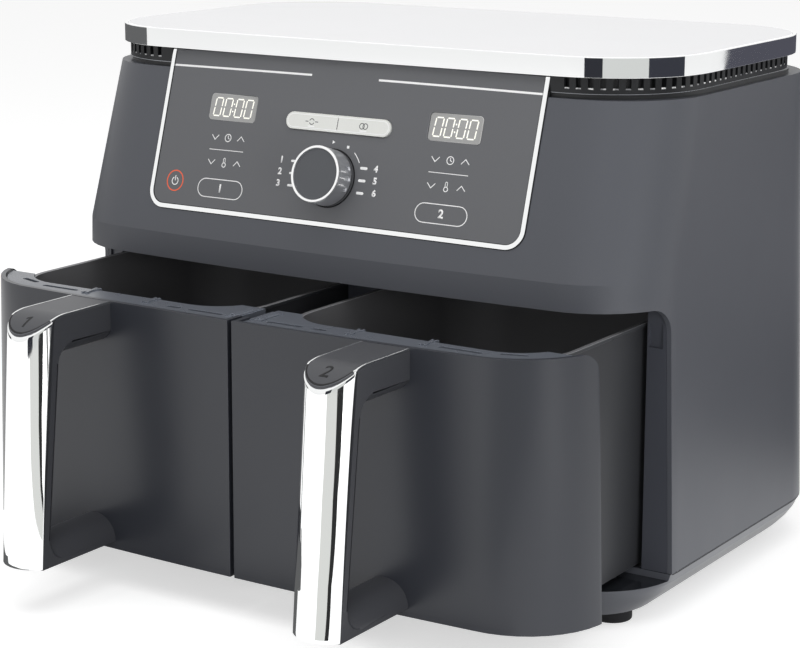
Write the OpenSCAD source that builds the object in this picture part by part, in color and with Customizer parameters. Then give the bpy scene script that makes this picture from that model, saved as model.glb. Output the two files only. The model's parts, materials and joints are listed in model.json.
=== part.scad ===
// Two-drawer air fryer. Millimetres, +Z up, the front faces -Y, floor at z = 0.
// The drawers are drawn part-way out, each by drawer_out, and every piece is drawn where it lies then.

/* [Body] */
// Width of the outer shell at its bottom edge
body_w = 434; // [420:1:460]
// Room between the closed pans and the shell's back
rear_room = 46; // [42:1:60]
// Thickness of the moulded shell
wall = 3; // [2.5:0.1:3.5]
// Height of the shell's bottom edge above the floor
shell_z = 28; // [26:1:32]
// Height of the crease between the upright chin and the sloping upper front
crease_z = 203; // [200:1:208]
// Height of the shell's top edge
shell_top_z = 303; // [300:1:310]
// Slope of the upper front, back from upright, in degrees
lean = 17.2; // [14:0.2:19]
// How far each side leans in between the bottom and the top
side_taper = 9; // [4:1:12]
// How far the middle of the front stands out past its ends
front_bow = 4.5; // [3:0.5:6]
// Radius of the front corners in plan
front_r = 54; // [48:1:58]
// Radius of the rear corners in plan
rear_r = 56; // [48:1:60]
// Height of the feet under the base
foot_h = 8; // [6:0.5:10]
// Diameter of a foot
foot_d = 24; // [18:1:28]

/* [Lid] */
// Height of the chrome band round the lid
rim_h = 11.5; // [9:0.5:14]
// Height of the vent gap between the shell's top edge and the chrome band
vent_gap = 12.5; // [11:0.5:15]
// Width of one louvre slot
slot_w = 3.2; // [2.4:0.2:3.6]
// Distance from one louvre slot to the next
slot_pitch = 7; // [6.4:0.2:9]

/* [Control panel] */
// Width of the control panel over its chrome trim
panel_w = 275; // [270:1:284]
// Width of the chrome trim
trim_w = 2.8; // [2:0.1:3.4]
// Distance from the crease up to the trim's lower edge
panel_rise = 16.4; // [15:0.2:18]
// Diameter of the dial
dial_d = 34.4; // [30:0.2:36]
// How far the dial stands out of the panel
dial_h = 16; // [12:1:18]
// Distance the dial travels when it is pressed
dial_press = 1.5; // [1:0.1:2]
// Length of the two-way mode key
key_w = 76; // [70:1:84]
// Width of the window over each display
window_w = 36.5; // [34:0.5:44]
// Height of the window over each display
window_h = 17; // [14:0.5:18]
// Corner radius of those windows
window_r = 2.6; // [1:0.1:4]

/* [Drawers] */
// How far both drawers stand open here
drawer_out = 83; // [70:1:95]
// Height of a drawer's front cover
cover_h = 154; // [150:1:155]
// Thickness of a drawer's front cover
cover_t = 3; // [2.6:0.1:3.4]
// How much narrower a drawer pan is than half the shell
pan_side_room = 40; // [31:1:42]
// Length of a drawer pan, front to back
pan_l = 210; // [190:1:214]
// Distance from a drawer cover's face back to its pan
pan_front = 25; // [22:1:27]
// Depth of a drawer pan
pan_h = 146; // [138:1:148]
// Thickness of the pan's pressed sheet
pan_t = 1.6; // [1.2:0.1:2]
// Radius of the pan's upright corners
pan_r = 34; // [26:1:38]
// Height of the crisper plate over the pan floor
plate_rise = 14; // [12:1:18]

/* [Handles] */
// How far each handle stands outwards from the middle of its pan
handle_shift = 2; // [0:1:6]
// Width of a handle
handle_w = 31.4; // [30:0.2:33]
// Reach of a handle in front of its drawer, at its lower end
handle_reach = 70.5; // [66:0.5:76]
// How much less the handle reaches out at its top than at its lower end
handle_rake = 10; // [8:0.5:12]
// Thickness of the chrome skin over the grip
chrome_t = 1.6; // [1.2:0.1:2]

/* [Heating] */
// Outer diameter of the hot-air fan
fan_d = 124; // [110:1:130]
// Number of blades on the hot-air fan
blade_count = 9; // [7:1:12]
// Diameter of the heating element's tube
element_d = 6.5; // [5.5:0.5:7.5]
// Thickness of the sheet that lines each cooking chamber
liner_t = 1.5; // [1.2:0.1:1.6]
// Diameter of the motor shaft
shaft_d = 6; // [5:0.5:7]

/* [Hidden] */
$fn = 64;

eps = 0.01;        // thickness of the slices that a loft is hulled from
past = 20;         // how far a cutter runs past what it cuts
fit = 0.3;         // clearance between pieces that move past each other
seat = 0.2;        // clearance between pieces that are fixed in one another
run_gap = 0.05;    // radial clearance of a shaft in its bearing

// The overall box at rest runs from the handles' fronts to the shell's back, and y = 0 halves it.
cover_proud = 3;
body_d = pan_front - cover_proud + pan_l + rear_room;
body_mid_room = 9;               // between the two pans, and the outer sides' extra share of it
front_y = (handle_reach + cover_proud + drawer_out - body_d) / 2;
back_y = front_y + body_d;
back_taper = 5;
bow_x = body_w / 2 - front_r;    // where the bowed front meets the round corners
chin_draft = 1.6;
lean_run = (shell_top_z - crease_z) * tan(lean);
half_bottom = body_w / 2;
half_top = half_bottom - side_taper;

// The outer form at height z: half its width, and its back, which leans in as one plane.
function half_at(z) = half_bottom - side_taper * (z - shell_z) / (shell_top_z - shell_z);
function back_at(z) = back_y - back_taper * (z - shell_z) / (shell_top_z - shell_z);
back_angle = atan(back_taper / (shell_top_z - shell_z));

// Opening for the drawers
opening_top_z = 187;
opening_depth = 52;              // how far the opening runs round the corners
opening_r = 15;
drawer_y = front_y - cover_proud - drawer_out;
cover_z = shell_z - 3.5;
cover_top_z = cover_z + cover_h;
cover_depth = opening_depth + cover_proud - 2;
seam = 3;                        // dark gap between the two covers

// Cooking chambers
frame_t = 3;
frame_y = front_y + opening_depth;
pan_w = body_w / 2 - pan_side_room;
pan_x = body_w / 4 - body_mid_room / 2;
handle_x = pan_x + handle_shift;
pan_z = cover_z + 4.5;
liner_x0 = pan_x - pan_w / 2 - 3;
liner_x1 = pan_x + pan_w / 2 + 4;
liner_z0 = shell_z - 4;
liner_z1 = 226;
liner_y0 = frame_y + frame_t;
liner_y1 = front_y - cover_proud + pan_front + pan_l + 8;
fan_y = (liner_y0 + liner_y1) / 2 + 4;
element_z = 199;
fan_z = 208;
fan_h = 11;
motor_z = 240;
motor_h = 30;
motor_d = 62;
cooling_d = 76;
cooling_z = motor_z + motor_h + 5;
deck_t = 3;

// Lid
lid_z0 = shell_top_z + vent_gap;
lid_z1 = lid_z0 + rim_h;
lid_half = half_top + 1;
lid_front = front_y + chin_draft + lean_run + 0.4;
lid_back = back_y - 10;
lid_r = 64;
rim_t = 2.4;
vent_inset = 5;
vent_t = 4;
vent_band = 5.5;                 // solid band under the slots

// Pan outlines
plate_z = pan_z + pan_t + plate_rise;
rake = atan(handle_rake / (cover_h - 16));
grip_z0 = shell_z + 1.5;         // underside of the handle
grip_z1 = cover_top_z;           // top of the handle

// Outline points ---------------------------------------------------------------------

// An arc of n chords round (cx, cy).
function arc(cx, cy, r, from, to, n = 10) =
    [for (i = [0:n]) [cx + r * cos(from + (to - from) * i / n), cy + r * sin(from + (to - from) * i / n)]];

// How far the bowed front lies behind its middle at x.
function bow_at(x, bow = front_bow) = bow * pow(min(abs(x), bow_x) / bow_x, 2);

// Plan outline: half width hw, front at y0 in the middle, back at y1, round corners.
function plan_points(hw, y0, y1, rf, rb, bow = front_bow) = concat(
    [for (i = [-8:8]) let (x = i / 8 * (hw - rf)) [x, y0 + bow * pow(x / (hw - rf), 2)]],
    arc(hw - rf, y0 + bow + rf, rf, -90, 0),
    arc(hw - rb, y1 - rb, rb, 0, 90),
    arc(rb - hw, y1 - rb, rb, 90, 180),
    arc(rf - hw, y0 + bow + rf, rf, 180, 270));

module slice(z, inset, hw, y0, y1) {
    translate([0, 0, z])
        linear_extrude(eps)
            polygon(plan_points(hw - inset, y0 + inset, y1 - inset, front_r - inset, rear_r - inset));
}

// The body's outer form, or with an inset the space inside its walls.
module body_form(inset = 0, low = 0) {
    top = shell_top_z - (inset > 0 ? wall : eps);
    hull() {
        slice(shell_z - low, inset, half_bottom, front_y, back_y);
        slice(crease_z, inset, half_at(crease_z), front_y + chin_draft, back_at(crease_z));
        slice(top, inset, half_at(top), front_y + chin_draft + (top - crease_z) * tan(lean), back_at(top));
    }
}

// Rounded rectangle centred on the origin.
module rounded(w, h, r) {
    square([w - 2 * r, h], center = true);
    square([w, h - 2 * r], center = true);
    for (sx = [-1, 1], sy = [-1, 1])
        translate([sx * (w / 2 - r), sy * (h / 2 - r)])
            circle(r = r);
}

// The drawer opening, as seen from the side: open to the front, one round corner at the top.
module opening_profile(depth, top, bottom, r) {
    translate([-past - 120, bottom])
        square([past + 120 + depth - r, top - bottom]);
    translate([-past - 120, bottom])
        square([past + 120 + depth, top - bottom - r]);
    translate([depth - r, top - r])
        circle(r = r);
}

// Extrudes a side profile, drawn in (y, z), along X over the given width.
module across(width) {
    rotate([90, 0, 90])
        translate([0, 0, -width / 2])
            linear_extrude(width)
                children();
}

// Places children on the sloping front: x across, u up the slope from the crease, z out of it.
module on_panel(x, u, bowed = true) {
    translate([0, front_y + chin_draft, crease_z])
        rotate([90 - lean, 0, 0])
            translate([x, u, bowed ? -bow_at(x) * cos(lean) : 0])
                children();
}

// Draws the right-hand piece, or its mirror image on the left.
module sided(side) {
    if (side > 0) children();
    else mirror([1, 0, 0]) children();
}

// Casing -----------------------------------------------------------------------------

// Tub under the body: its sides curve in to a flat floor, and it is hollow above.
tub_levels = [[0, 14.5], [3, 11], [8, 6.4], [14, 2.4], [20, 0.4]];    // [height over the feet, inset]
tub_front = 0.25;                // share of the inset at the front, where the tub stays full
tub_rear = 1.5;                  // and at the back, where it curves in more

module tub(inset, low) {
    hull()
        for (level = tub_levels)
            slice(foot_h + level[0] * (shell_z - foot_h) / 20 + (level[0] > 19 ? low - eps : low),
                level[1] + inset, half_bottom, front_y - (1 - tub_front) * level[1],
                back_y - (tub_rear - 1) * level[1]);
}

foot_x = half_bottom - 32;
foot_front = front_y + 38;
foot_back = back_y - 44;

rear_foot_in = 13;               // the rear feet stand this much farther in

module at_feet() {
    for (side = [-1, 1]) {
        translate([side * foot_x, foot_front, 0])
            children();
        translate([side * (foot_x - rear_foot_in), foot_back, 0])
            children();
    }
}

sill_z = cover_z - 0.5;          // top of the base in front, under the drawer covers
sill_depth = opening_depth - 1;

// Curved ramp at the outer end of each chamber mouth, which steers the pan in.
module mouth_ramps() {
    ramp_h = pan_z - fit - sill_z;
    for (side = [-1, 1])
        translate([side * (liner_x1 - 50), front_y + 88, 0])
            intersection() {
                difference() {
                    translate([0, 0, sill_z])
                        cylinder(r1 = 54, r2 = 48, h = ramp_h);
                    translate([0, 0, sill_z - 1])
                        cylinder(r = 46, h = ramp_h + 2);
                }
                translate([side > 0 ? 20 : -56, -52, sill_z - 1])
                    cube([36, 88 - sill_depth, ramp_h + 2]);
            }
}

module base_tray() {
    floor_z = foot_h + wall;
    color("#2b2c2e")
        difference() {
            union() {
                difference() {
                    tub(0, 0);
                    difference() {
                        tub(wall, wall);
                        translate([-half_bottom, front_y - past, sill_z - wall])
                            cube([body_w, past + sill_depth + wall, 80]);
                    }
                }
                at_feet()
                    translate([0, 0, floor_z - 1])
                        cylinder(d = foot_d - 6, h = 9);
                // ribs that carry the chamber liners
                for (side = [-1, 1], y = [liner_y0 + 20, liner_y1 - 26])
                    translate([side * pan_x - pan_w / 2 + 10, y, floor_z - 1])
                        cube([pan_w - 20, wall, liner_z0 - floor_z + 1]);
            }
            difference() {
                translate([-half_bottom, front_y - past, sill_z])
                    cube([body_w, past + sill_depth, 80]);
                mouth_ramps();
            }
            at_feet()
                translate([0, 0, foot_h - 1])
                    cylinder(d = 4.4, h = 22);
            for (x = [-150:12:150])
                translate([x - 2, front_y + 110, foot_h - 1])
                    cube([4, 60, wall + 2]);
        }
}

module rubber_feet() {
    color("#1b1b1c")
        at_feet() {
            difference() {
                cylinder(d = foot_d, h = foot_h);
                translate([0, 0, -1])
                    cylinder(d = 9, h = 5);
                translate([0, 0, -1])
                    cylinder(d = 4.4, h = foot_h + 2);
            }
        }
}

// Places children against the leaning back: y = 0 is its outer face, z is 0 at the shell's bottom edge.
module on_back() {
    translate([0, back_y, shell_z])
        rotate([back_angle, 0, 0])
            children();
}

rear_w = 2 * (half_top - rear_r) - 16;   // width of the rear cover, on the flat of the back
rear_h = 210;
rear_mid = 135;      // height of its middle over the shell's bottom edge
rear_t = 2.4;

// The rear cover's outline, pushed along Y from y0 to y1.
module rear_prism(grow, y0, y1) {
    translate([0, y1, rear_mid])
        rotate([90, 0, 0])
            linear_extrude(y1 - y0)
                rounded(rear_w + 2 * grow, rear_h + 2 * grow, 14 + grow);
}

// Outline of the control panel in the slope's own plane, open to the top.
panel_top_u = (lid_z0 - fit - crease_z) / cos(lean);
panel_r = 12;

module panel_outline(grow) {
    u0 = panel_rise - grow;
    h = panel_top_u - u0;
    translate([0, u0 + h / 2])
        difference() {
            rounded(panel_w + 2 * grow, h, panel_r + grow);
            translate([0, h / 2])
                square([panel_w + 2 * grow + 2, 0.02], center = true);
        }
    translate([-panel_w / 2 - grow, u0 + h / 2])
        square([panel_w + 2 * grow, h / 2]);
}

ledge_w = 12;        // width of the shell's flat top edge

module outer_shell() {
    color("#55575b")
        difference() {
            body_form();
            body_form(wall, 1);
            // open top inside the ledge
            translate([0, 0, shell_top_z - wall - 2])
                linear_extrude(wall + 4)
                    polygon(plan_points(half_top - ledge_w, front_y + chin_draft + lean_run + ledge_w,
                        back_y - back_taper - ledge_w, front_r - ledge_w, rear_r - ledge_w));
            // drawer opening, cut through the front and round both corners
            translate([0, front_y, 0])
                across(body_w + past)
                    opening_profile(opening_depth, opening_top_z, shell_z - 5, opening_r);
            // window for the control panel
            on_panel(0, 0, false)
                translate([0, 0, -30])
                    linear_extrude(50)
                        intersection() {
                            panel_outline(0);
                            translate([-panel_w, 0])
                                square([panel_w * 2, 150]);
                        }
            on_back()
                rear_prism(0, -30, 10);
        }
}

// Dark inner frame: upright wall round both chamber mouths, and the soffit over the drawers.
module front_frame() {
    inner = wall + seat;
    color("#303236")
        union() {
            intersection() {
                body_form(inner, 1);
                difference() {
                    translate([-half_bottom, frame_y, shell_z])
                        cube([body_w, frame_t, opening_top_z + frame_t - shell_z]);
                    for (side = [-1, 1]) {
                        translate([side > 0 ? liner_x0 : -liner_x1, frame_y - past, shell_z - 1])
                            cube([liner_x1 - liner_x0, 3 * past, opening_top_z - 3 - shell_z]);
                        // shallow pocket in the top of the jamb
                        translate([side > 0 ? liner_x1 + 1 : -liner_x1 - 10, frame_y - 1, opening_top_z - 25])
                            cube([9, 1 + frame_t / 2, 14]);
                    }
                }
            }
            intersection() {
                body_form(inner, 1);
                translate([-half_bottom, front_y - 5, opening_top_z])
                    cube([body_w, frame_y - front_y + 5, frame_t]);
            }
        }
}

// Rear cover: fills the window in the shell's back, laps behind its edge, and lets hot air out.
gland_x = 30 - rear_w / 2;
gland_z = rear_mid - rear_h / 2 + 32;
gland_d = 16;
rear_face = -wall - seat;        // outer face of the lapping flange
louvre_w = (rear_w - 72) / 3;

module at_rear_screws() {
    for (x = [14 - rear_w / 2, rear_w / 2 - 14], z = [14 - rear_h / 2, rear_h / 2 - 14])
        translate([x, -0.8, rear_mid + z])
            rotate([-90, 0, 0])
                children();
}

module rear_cover() {
    color("#3a3c3f")
        on_back()
            difference() {
                union() {
                    rear_prism(-seat, rear_face - 1, -0.8);
                    rear_prism(7, rear_face - rear_t, rear_face);
                }
                for (row = [0:8], column = [-1:1])
                    translate([column * (louvre_w + 14) - louvre_w / 2, -12, rear_mid - 10 + row * 11])
                        rotate([25, 0, 0])
                            cube([louvre_w, 30, 4]);
                translate([gland_x, -past, gland_z])
                    rotate([-90, 0, 0])
                        cylinder(d = gland_d, h = 2 * past);
                at_rear_screws()
                    translate([0, 0, -past])
                        cylinder(d = 3.6, h = 2 * past);
            }
}

// Bush in the rear cover where the mains lead enters.
module cord_gland() {
    flange = 2.6;
    color("#1f2022")
        on_back()
            translate([gland_x, -0.8, gland_z])
                rotate([-90, 0, 0])
                    difference() {
                        union() {
                            cylinder(d = gland_d + 6, h = flange);
                            translate([0, 0, -9])
                                cylinder(d = gland_d - 2 * seat, h = 9);
                        }
                        translate([0, 0, -10])
                            cylinder(d = 7.4, h = 10 + flange + 1);
                    }
}

// Top of the body ----------------------------------------------------------------------

deck_half = lid_half - 4;
deck_front = lid_front + 5;

// Posts that carry the lid stand on the deck at these places.
module at_lid_posts() {
    for (x = [-165, -45, 45, 165], y = [lid_front + 45, lid_back - 45])
        translate([x, y, shell_top_z + deck_t])
            children();
}

module top_deck() {
    color("#2e2f31")
        difference() {
            union() {
                translate([0, 0, shell_top_z])
                    linear_extrude(deck_t)
                        difference() {
                            polygon(plan_points(deck_half, deck_front, lid_back - 4,
                                lid_r - 4, lid_r - 4, 2));
                            translate([-panel_w / 2, deck_front - past])
                                square([panel_w, past + 6]);
                        }
                for (side = [-1, 1])
                    translate([side * pan_x, fan_y, shell_top_z - 18])
                        cylinder(d = cooling_d + 12, h = 18);
            }
            for (side = [-1, 1])
                translate([side * pan_x, fan_y, shell_top_z - 18 - 1])
                    cylinder(d = cooling_d + 6, h = 18 + deck_t + 2);
            at_lid_posts()
                translate([0, 0, -deck_t - 1])
                    cylinder(d = 3.6, h = deck_t + 2);
        }
}

// Louvre: an upright band with a comb of slots, open under the lid.
module slot_cut() {
    translate([-slot_w / 2, -vent_t])
        square([slot_w, vent_t * 2]);
}

vent_half = lid_half - vent_inset;
vent_front = lid_front + vent_inset;
vent_back = lid_back - vent_inset;
vent_r = lid_r - vent_inset;

module vent_slots() {
    side_n = floor((vent_back - vent_front - 2 * vent_r) / slot_pitch / 2);
    rear_n = floor((vent_half - vent_r) / slot_pitch);
    corner_n = floor(vent_r * PI / 2 / slot_pitch);
    mid_y = (vent_front + vent_back) / 2;
    for (i = [-rear_n:rear_n])
        translate([i * slot_pitch, vent_back])
            slot_cut();
    for (s = [-1, 1]) {
        for (i = [-side_n:side_n])
            translate([s * vent_half, mid_y + i * slot_pitch])
                rotate(90)
                    slot_cut();
        for (i = [0:corner_n - 1]) {
            turn = (i + 0.5) * 90 / corner_n;
            translate([s * (vent_half - vent_r), vent_back - vent_r])
                rotate(-s * turn)
                    translate([0, vent_r])
                        slot_cut();
            translate([s * (vent_half - vent_r), vent_front + vent_r])
                rotate(s * turn + 180)
                    translate([0, vent_r])
                        slot_cut();
        }
    }
}

module vent_outline(inset) {
    w = 2 * (vent_half - inset);
    d = vent_back - vent_front - 2 * inset;
    translate([0, (vent_front + vent_back) / 2])
        rounded(w, d, vent_r - inset);
}

module vent_ring() {
    z0 = shell_top_z + deck_t;
    color("#151617")
        difference() {
            union() {
                translate([0, 0, z0])
                    linear_extrude(lid_z0 - z0)
                        difference() {
                            vent_outline(0);
                            vent_outline(vent_t);
                            vent_slots();
                        }
                translate([0, 0, z0])
                    linear_extrude(vent_band - deck_t)
                        difference() {
                            vent_outline(0);
                            vent_outline(vent_t);
                        }
            }
            // gap for the control panel, which reaches up to the lid
            translate([-panel_w / 2 - seat, front_y, z0 - 1])
                cube([panel_w + 2 * seat, lean_run + 30, 30]);
        }
}

function lid_points(inset) =
    plan_points(lid_half - inset, lid_front + inset, lid_back - inset, lid_r - inset, lid_r - inset, 2);

module lid_rim() {
    color("#e3e5e8")
        translate([0, 0, lid_z0])
            difference() {
                linear_extrude(rim_h)
                    polygon(lid_points(0));
                translate([0, 0, -1])
                    linear_extrude(rim_h + 2)
                        polygon(lid_points(rim_t));
            }
}

lid_top_t = 4;

module lid_top() {
    z0 = lid_z1 - lid_top_t;
    color("#ececee")
        difference() {
            union() {
                translate([0, 0, z0])
                    linear_extrude(lid_top_t)
                        polygon(lid_points(rim_t));
                translate([0, 0, lid_z0])
                    linear_extrude(lid_top_t)
                        difference() {
                            polygon(lid_points(rim_t));
                            polygon(lid_points(rim_t + 14));
                        }
                translate([0, 0, lid_z0])
                    linear_extrude(rim_h)
                        difference() {
                            polygon(lid_points(rim_t));
                            polygon(lid_points(rim_t + 2));
                        }
                at_lid_posts()
                    cylinder(d = 9, h = z0 - shell_top_z - deck_t);
            }
            at_lid_posts()
                translate([0, 0, -1])
                    cylinder(d = 3, h = 13);
        }
}

module deck_screws() {
    color("silver")
        at_lid_posts()
            translate([0, 0, -deck_t]) {
                translate([0, 0, -2])
                    cylinder(d = 6, h = 2);
                cylinder(d = 3, h = deck_t);
                translate([0, 0, deck_t])
                    cylinder(d = 2.8, h = 9);
            }
}

// Control panel ------------------------------------------------------------------------

fascia_t = 2.6;
window_x = 81.3;
window_u = 83;
dial_u = 46;
key_u = 78.8;
key_h = 10.4;
key_stand = 1.2;     // how far the mode key stands out
key_stem = 6;        // depth of the key's stem behind the panel's face
key_pivot_z = 1.5 - key_stem;

// A plate on the slope that follows the front's bow: outline in (x, u), thickness t, lifted by z.
module bowed_plate(z, t) {
    step = (panel_w / 2 + 6) / 12;
    intersection() {
        on_panel(0, 0, false)
            translate([0, panel_top_u + past, 0])
                rotate([90, 0, 0])
                    linear_extrude(panel_top_u + 2 * past)
                        polygon(concat(
                            [for (i = [-12:12]) let (x = i * step) [x, z + t - bow_at(x) * cos(lean)]],
                            [for (i = [12:-1:-12]) let (x = i * step) [x, z - bow_at(x) * cos(lean)]]));
        on_panel(0, 0, false)
            translate([0, 0, -3 * past])
                linear_extrude(6 * past)
                    children();
    }
}

module control_fascia() {
    lap_z0 = -wall - 2.6;        // flange that laps behind the shell
    lap_top_u = (shell_top_z - wall - 1 - crease_z) / cos(lean);
    color("#68696c")
        difference() {
            union() {
                bowed_plate(-fascia_t, fascia_t)
                    panel_outline(-trim_w);
                bowed_plate(lap_z0, 2.2)
                    difference() {
                        intersection() {
                            panel_outline(4);
                            translate([-panel_w, 0])
                                square([2 * panel_w, lap_top_u]);
                        }
                        panel_outline(-trim_w - 5);
                    }
                bowed_plate(lap_z0 + 2, fascia_t + 0.8)
                    difference() {
                        panel_outline(-trim_w - 1);
                        panel_outline(-trim_w - 5);
                    }
            }
            for (side = [-1, 1])
                on_panel(side * window_x, window_u)
                    translate([0, 0, -20])
                        linear_extrude(40)
                            rounded(window_w, window_h, window_r);
            on_panel(0, dial_u)
                translate([0, 0, -20])
                    cylinder(d = 12, h = 40);
            on_panel(0, key_u)
                translate([0, 0, -20])
                    linear_extrude(40)
                        rounded(key_w + 2 * fit, key_h + 2 * fit, key_h / 2 + fit - 0.1);
        }
}

// Chrome U round the panel, let into the slope.
module panel_trim() {
    color("#e3e5e8")
        bowed_plate(-fascia_t, fascia_t + 0.6)
            difference() {
                panel_outline(0);
                panel_outline(-trim_w);
                translate([-panel_w / 2 + trim_w, panel_top_u - 40])
                    square([panel_w - 2 * trim_w, 60]);
            }
}

module display_window(side) {
    color("#b9b9b6")
        on_panel(side * window_x, window_u)
            translate([0, 0, -fascia_t])
                linear_extrude(fascia_t - 0.2)
                    rounded(window_w - 2 * seat, window_h - 2 * seat, window_r - seat);
}

board_gap = 12;      // from the panel's face to the control board
board_t = 1.6;

// Distance from the board up to the fascia's back at x.
function behind_fascia(x) = board_gap - fascia_t - bow_at(x) * cos(lean) - 0.1;

module display_modules() {
    color("#e8e8e4")
        for (side = [-1, 1])
            on_panel(side * window_x, window_u, false)
                translate([-window_w / 2 - 1, -window_h / 2 - 1, -board_gap])
                    cube([window_w + 2, window_h + 2, behind_fascia(window_x + window_w / 2)]);
}

module control_board() {
    color("#1f5c38")
        union() {
            difference() {
                on_panel(0, 0, false)
                    translate([-panel_w / 2 + 12, panel_rise + 12, -board_gap - board_t])
                        cube([panel_w - 24, 74, board_t]);
                on_panel(0, dial_u, false)
                    translate([0, 0, -30])
                        cylinder(d = 7.4, h = 60);
            }
            // posts that carry the board on the fascia
            for (x = [-118, -34, 34, 118], u = [panel_rise + 16, panel_rise + 46])
                on_panel(x, u, false)
                    translate([0, 0, -board_gap])
                        cylinder(d = 5, h = behind_fascia(abs(x) + 3));
            // switch block under the mode key
            on_panel(0, key_u, false)
                translate([-8, -4, -board_gap])
                    cube([16, 8, board_gap - key_stem - fit]);
        }
}

dial_clear = 1;      // running gap between the pressed dial and the panel

module dial_encoder() {
    color("#8a8d90")
        on_panel(0, dial_u)
            difference() {
                union() {
                    translate([-7, -7, -board_gap])
                        cube([14, 14, 5]);
                    translate([0, 0, -board_gap + 4])
                        cylinder(d = 9, h = board_gap - 5);
                }
                translate([0, 0, -board_gap - 6])
                    cylinder(d = 6 + 2 * run_gap, h = board_gap + 10);
            }
}

// Shaft of the dial: it is pressed in and springs back, and the dial turns on it.
module dial_shaft() {
    color("#b8bbbe")
        on_panel(0, dial_u)
            union() {
                translate([0, 0, -board_gap - 4])
                    cylinder(d = 6, h = board_gap + 4 + dial_h - 4);
                translate([0, 0, 1.2 + dial_press])
                    cylinder(d = 11, h = 1.6);
            }
}

// Dark turning cap, hollow underneath, with a bore that runs on the shaft.
module dial_knob() {
    base = dial_press + dial_clear;
    color("#3b3d40")
        on_panel(0, dial_u)
            difference() {
                union() {
                    translate([0, 0, base])
                        cylinder(d = dial_d - 3, h = dial_h - base - 0.8);
                }
                translate([0, 0, base - 1])
                    difference() {
                        cylinder(d = dial_d - 7, h = dial_h - base - 4);
                        translate([0, 0, -1])
                            cylinder(d = 11, h = dial_h);
                    }
                translate([0, 0, -1])
                    cylinder(d = 6 + 2 * run_gap, h = dial_h - 3 + fit);
                translate([0, 0, -1])
                    cylinder(d = 11 + 2 * fit, h = 1 + 1.2 + dial_press + 1.6 + fit);
            }
}

// Satin skirt round the dial, with a bright rim at the front and three grip notches.
module dial_ring() {
    base = dial_press + dial_clear;
    color("#c9cbce")
        on_panel(0, dial_u)
            difference() {
                union() {
                    translate([0, 0, base])
                        cylinder(d = dial_d, h = dial_h - base - 1.2);
                    translate([0, 0, dial_h - 1.2])
                        cylinder(d1 = dial_d, d2 = dial_d - 1.6, h = 1.2);
                }
                translate([0, 0, -1])
                    cylinder(d = dial_d - 3, h = dial_h + 3);
                for (a = [-22, 0, 22])
                    rotate(a)
                        translate([dial_d / 2, 0, base + 3.5])
                            cube([1.2, 2.2, 4.5], center = true);
            }
}

// Cream two-way key: it rocks about an upright line at its middle.
module mode_key() {
    color("#e8e8e2")
        on_panel(0, key_u) {
            translate([0, 0, -fascia_t + 0.4])
                linear_extrude(fascia_t - 0.4 + key_stand)
                    difference() {
                        rounded(key_w, key_h, key_h / 2 - 0.1);
                        square([0.6, key_h - 3], center = true);
                    }
            // round pivot on the switch block, and the web that carries it
            translate([0, key_h / 2 - 1, key_pivot_z])
                rotate([90, 0, 0])
                    cylinder(d = 3, h = key_h - 2);
            translate([-1, 1 - key_h / 2, key_pivot_z])
                cube([2, key_h - 2, -key_pivot_z - fascia_t + 1]);
        }
}

// Inside the body ------------------------------------------------------------------------

module centre_rib() {
    color("#56585c")
        union() {
            translate([-1.5, liner_y0 + 2, foot_h + wall])
                cube([3, liner_y1 - liner_y0 - 4, shell_top_z - foot_h - wall]);
            for (y = [liner_y0 + 6, liner_y1 - 16])
                translate([-6, y, shell_top_z - 8])
                    cube([12, 10, 8]);
        }
}

// Plastic strips that each drawer slides on, one pair a side.
module drawer_guides() {
    guide_h = pan_z - fit - liner_z0 - liner_t;
    color("#222326")
        for (side = [-1, 1], x = [liner_x0 + 14, liner_x1 - 24])
            translate([side > 0 ? x : -x - 10, liner_y0 + 1, liner_z0 + liner_t])
                cube([10, liner_y1 - liner_y0 - 12, guide_h]);
}

// Folded sheet box, open to the front, with the fan's bore in the roof and vent slots in the back.
module chamber_liner(side) {
    w = liner_x1 - liner_x0;
    l = liner_y1 - liner_y0;
    h = liner_z1 - liner_z0;
    color("#8d9093")
        sided(side)
            difference() {
                translate([liner_x0 - liner_t, liner_y0, liner_z0])
                    cube([w + 2 * liner_t, l + liner_t, h + liner_t]);
                translate([liner_x0, liner_y0 - 1, liner_z0 + liner_t])
                    cube([w, l + 1, h - liner_t]);
                translate([pan_x, fan_y, liner_z1 - 1])
                    cylinder(d = shaft_d + 6, h = 4);
                for (i = [-3:3])
                    translate([pan_x + i * 14 - 3, liner_y1 - 1, liner_z1 - 30])
                        cube([6, 4, 18]);
                for (x = [pan_x + tail_inner_x, pan_x + tail_outer_x])
                    translate([x, liner_y1 - 1, element_z])
                        rotate([-90, 0, 0])
                            cylinder(d = element_d + 2 * seat, h = 4);
            }
}

// Sheathed element: two open rings joined by a hairpin, with both ends led out through the back.
module tube_arc(cx, cy, r, from, turn) {
    translate([cx, cy, 0])
        rotate([0, 0, from])
            rotate_extrude(angle = turn, $fn = 48)
                translate([r, 0])
                    circle(d = element_d, $fn = 20);
}

ring_outer = 58;
ring_inner = 42;
hairpin_r = (ring_outer - ring_inner) / 2;
hairpin_at = 112;                // where the hairpin closes the two rings, in degrees
tail_outer_x = 18;
tail_inner_x = 2;

// Angle at which a ring of radius r leaves for a tail at x.
function leave_at(r, x) = acos((x + hairpin_r) / (r + hairpin_r));

module element_tail(r, x) {
    at = leave_at(r, x);
    c = r + hairpin_r;
    tube_arc(0, 0, r, hairpin_at, 360 - hairpin_at + at);
    tube_arc(c * cos(at), c * sin(at), hairpin_r, 180, at);
    translate([x, c * sin(at), 0])
        rotate([-90, 0, 0])
            cylinder(d = element_d, h = liner_y1 + liner_t + 14 - fan_y - c * sin(at));
}

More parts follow.
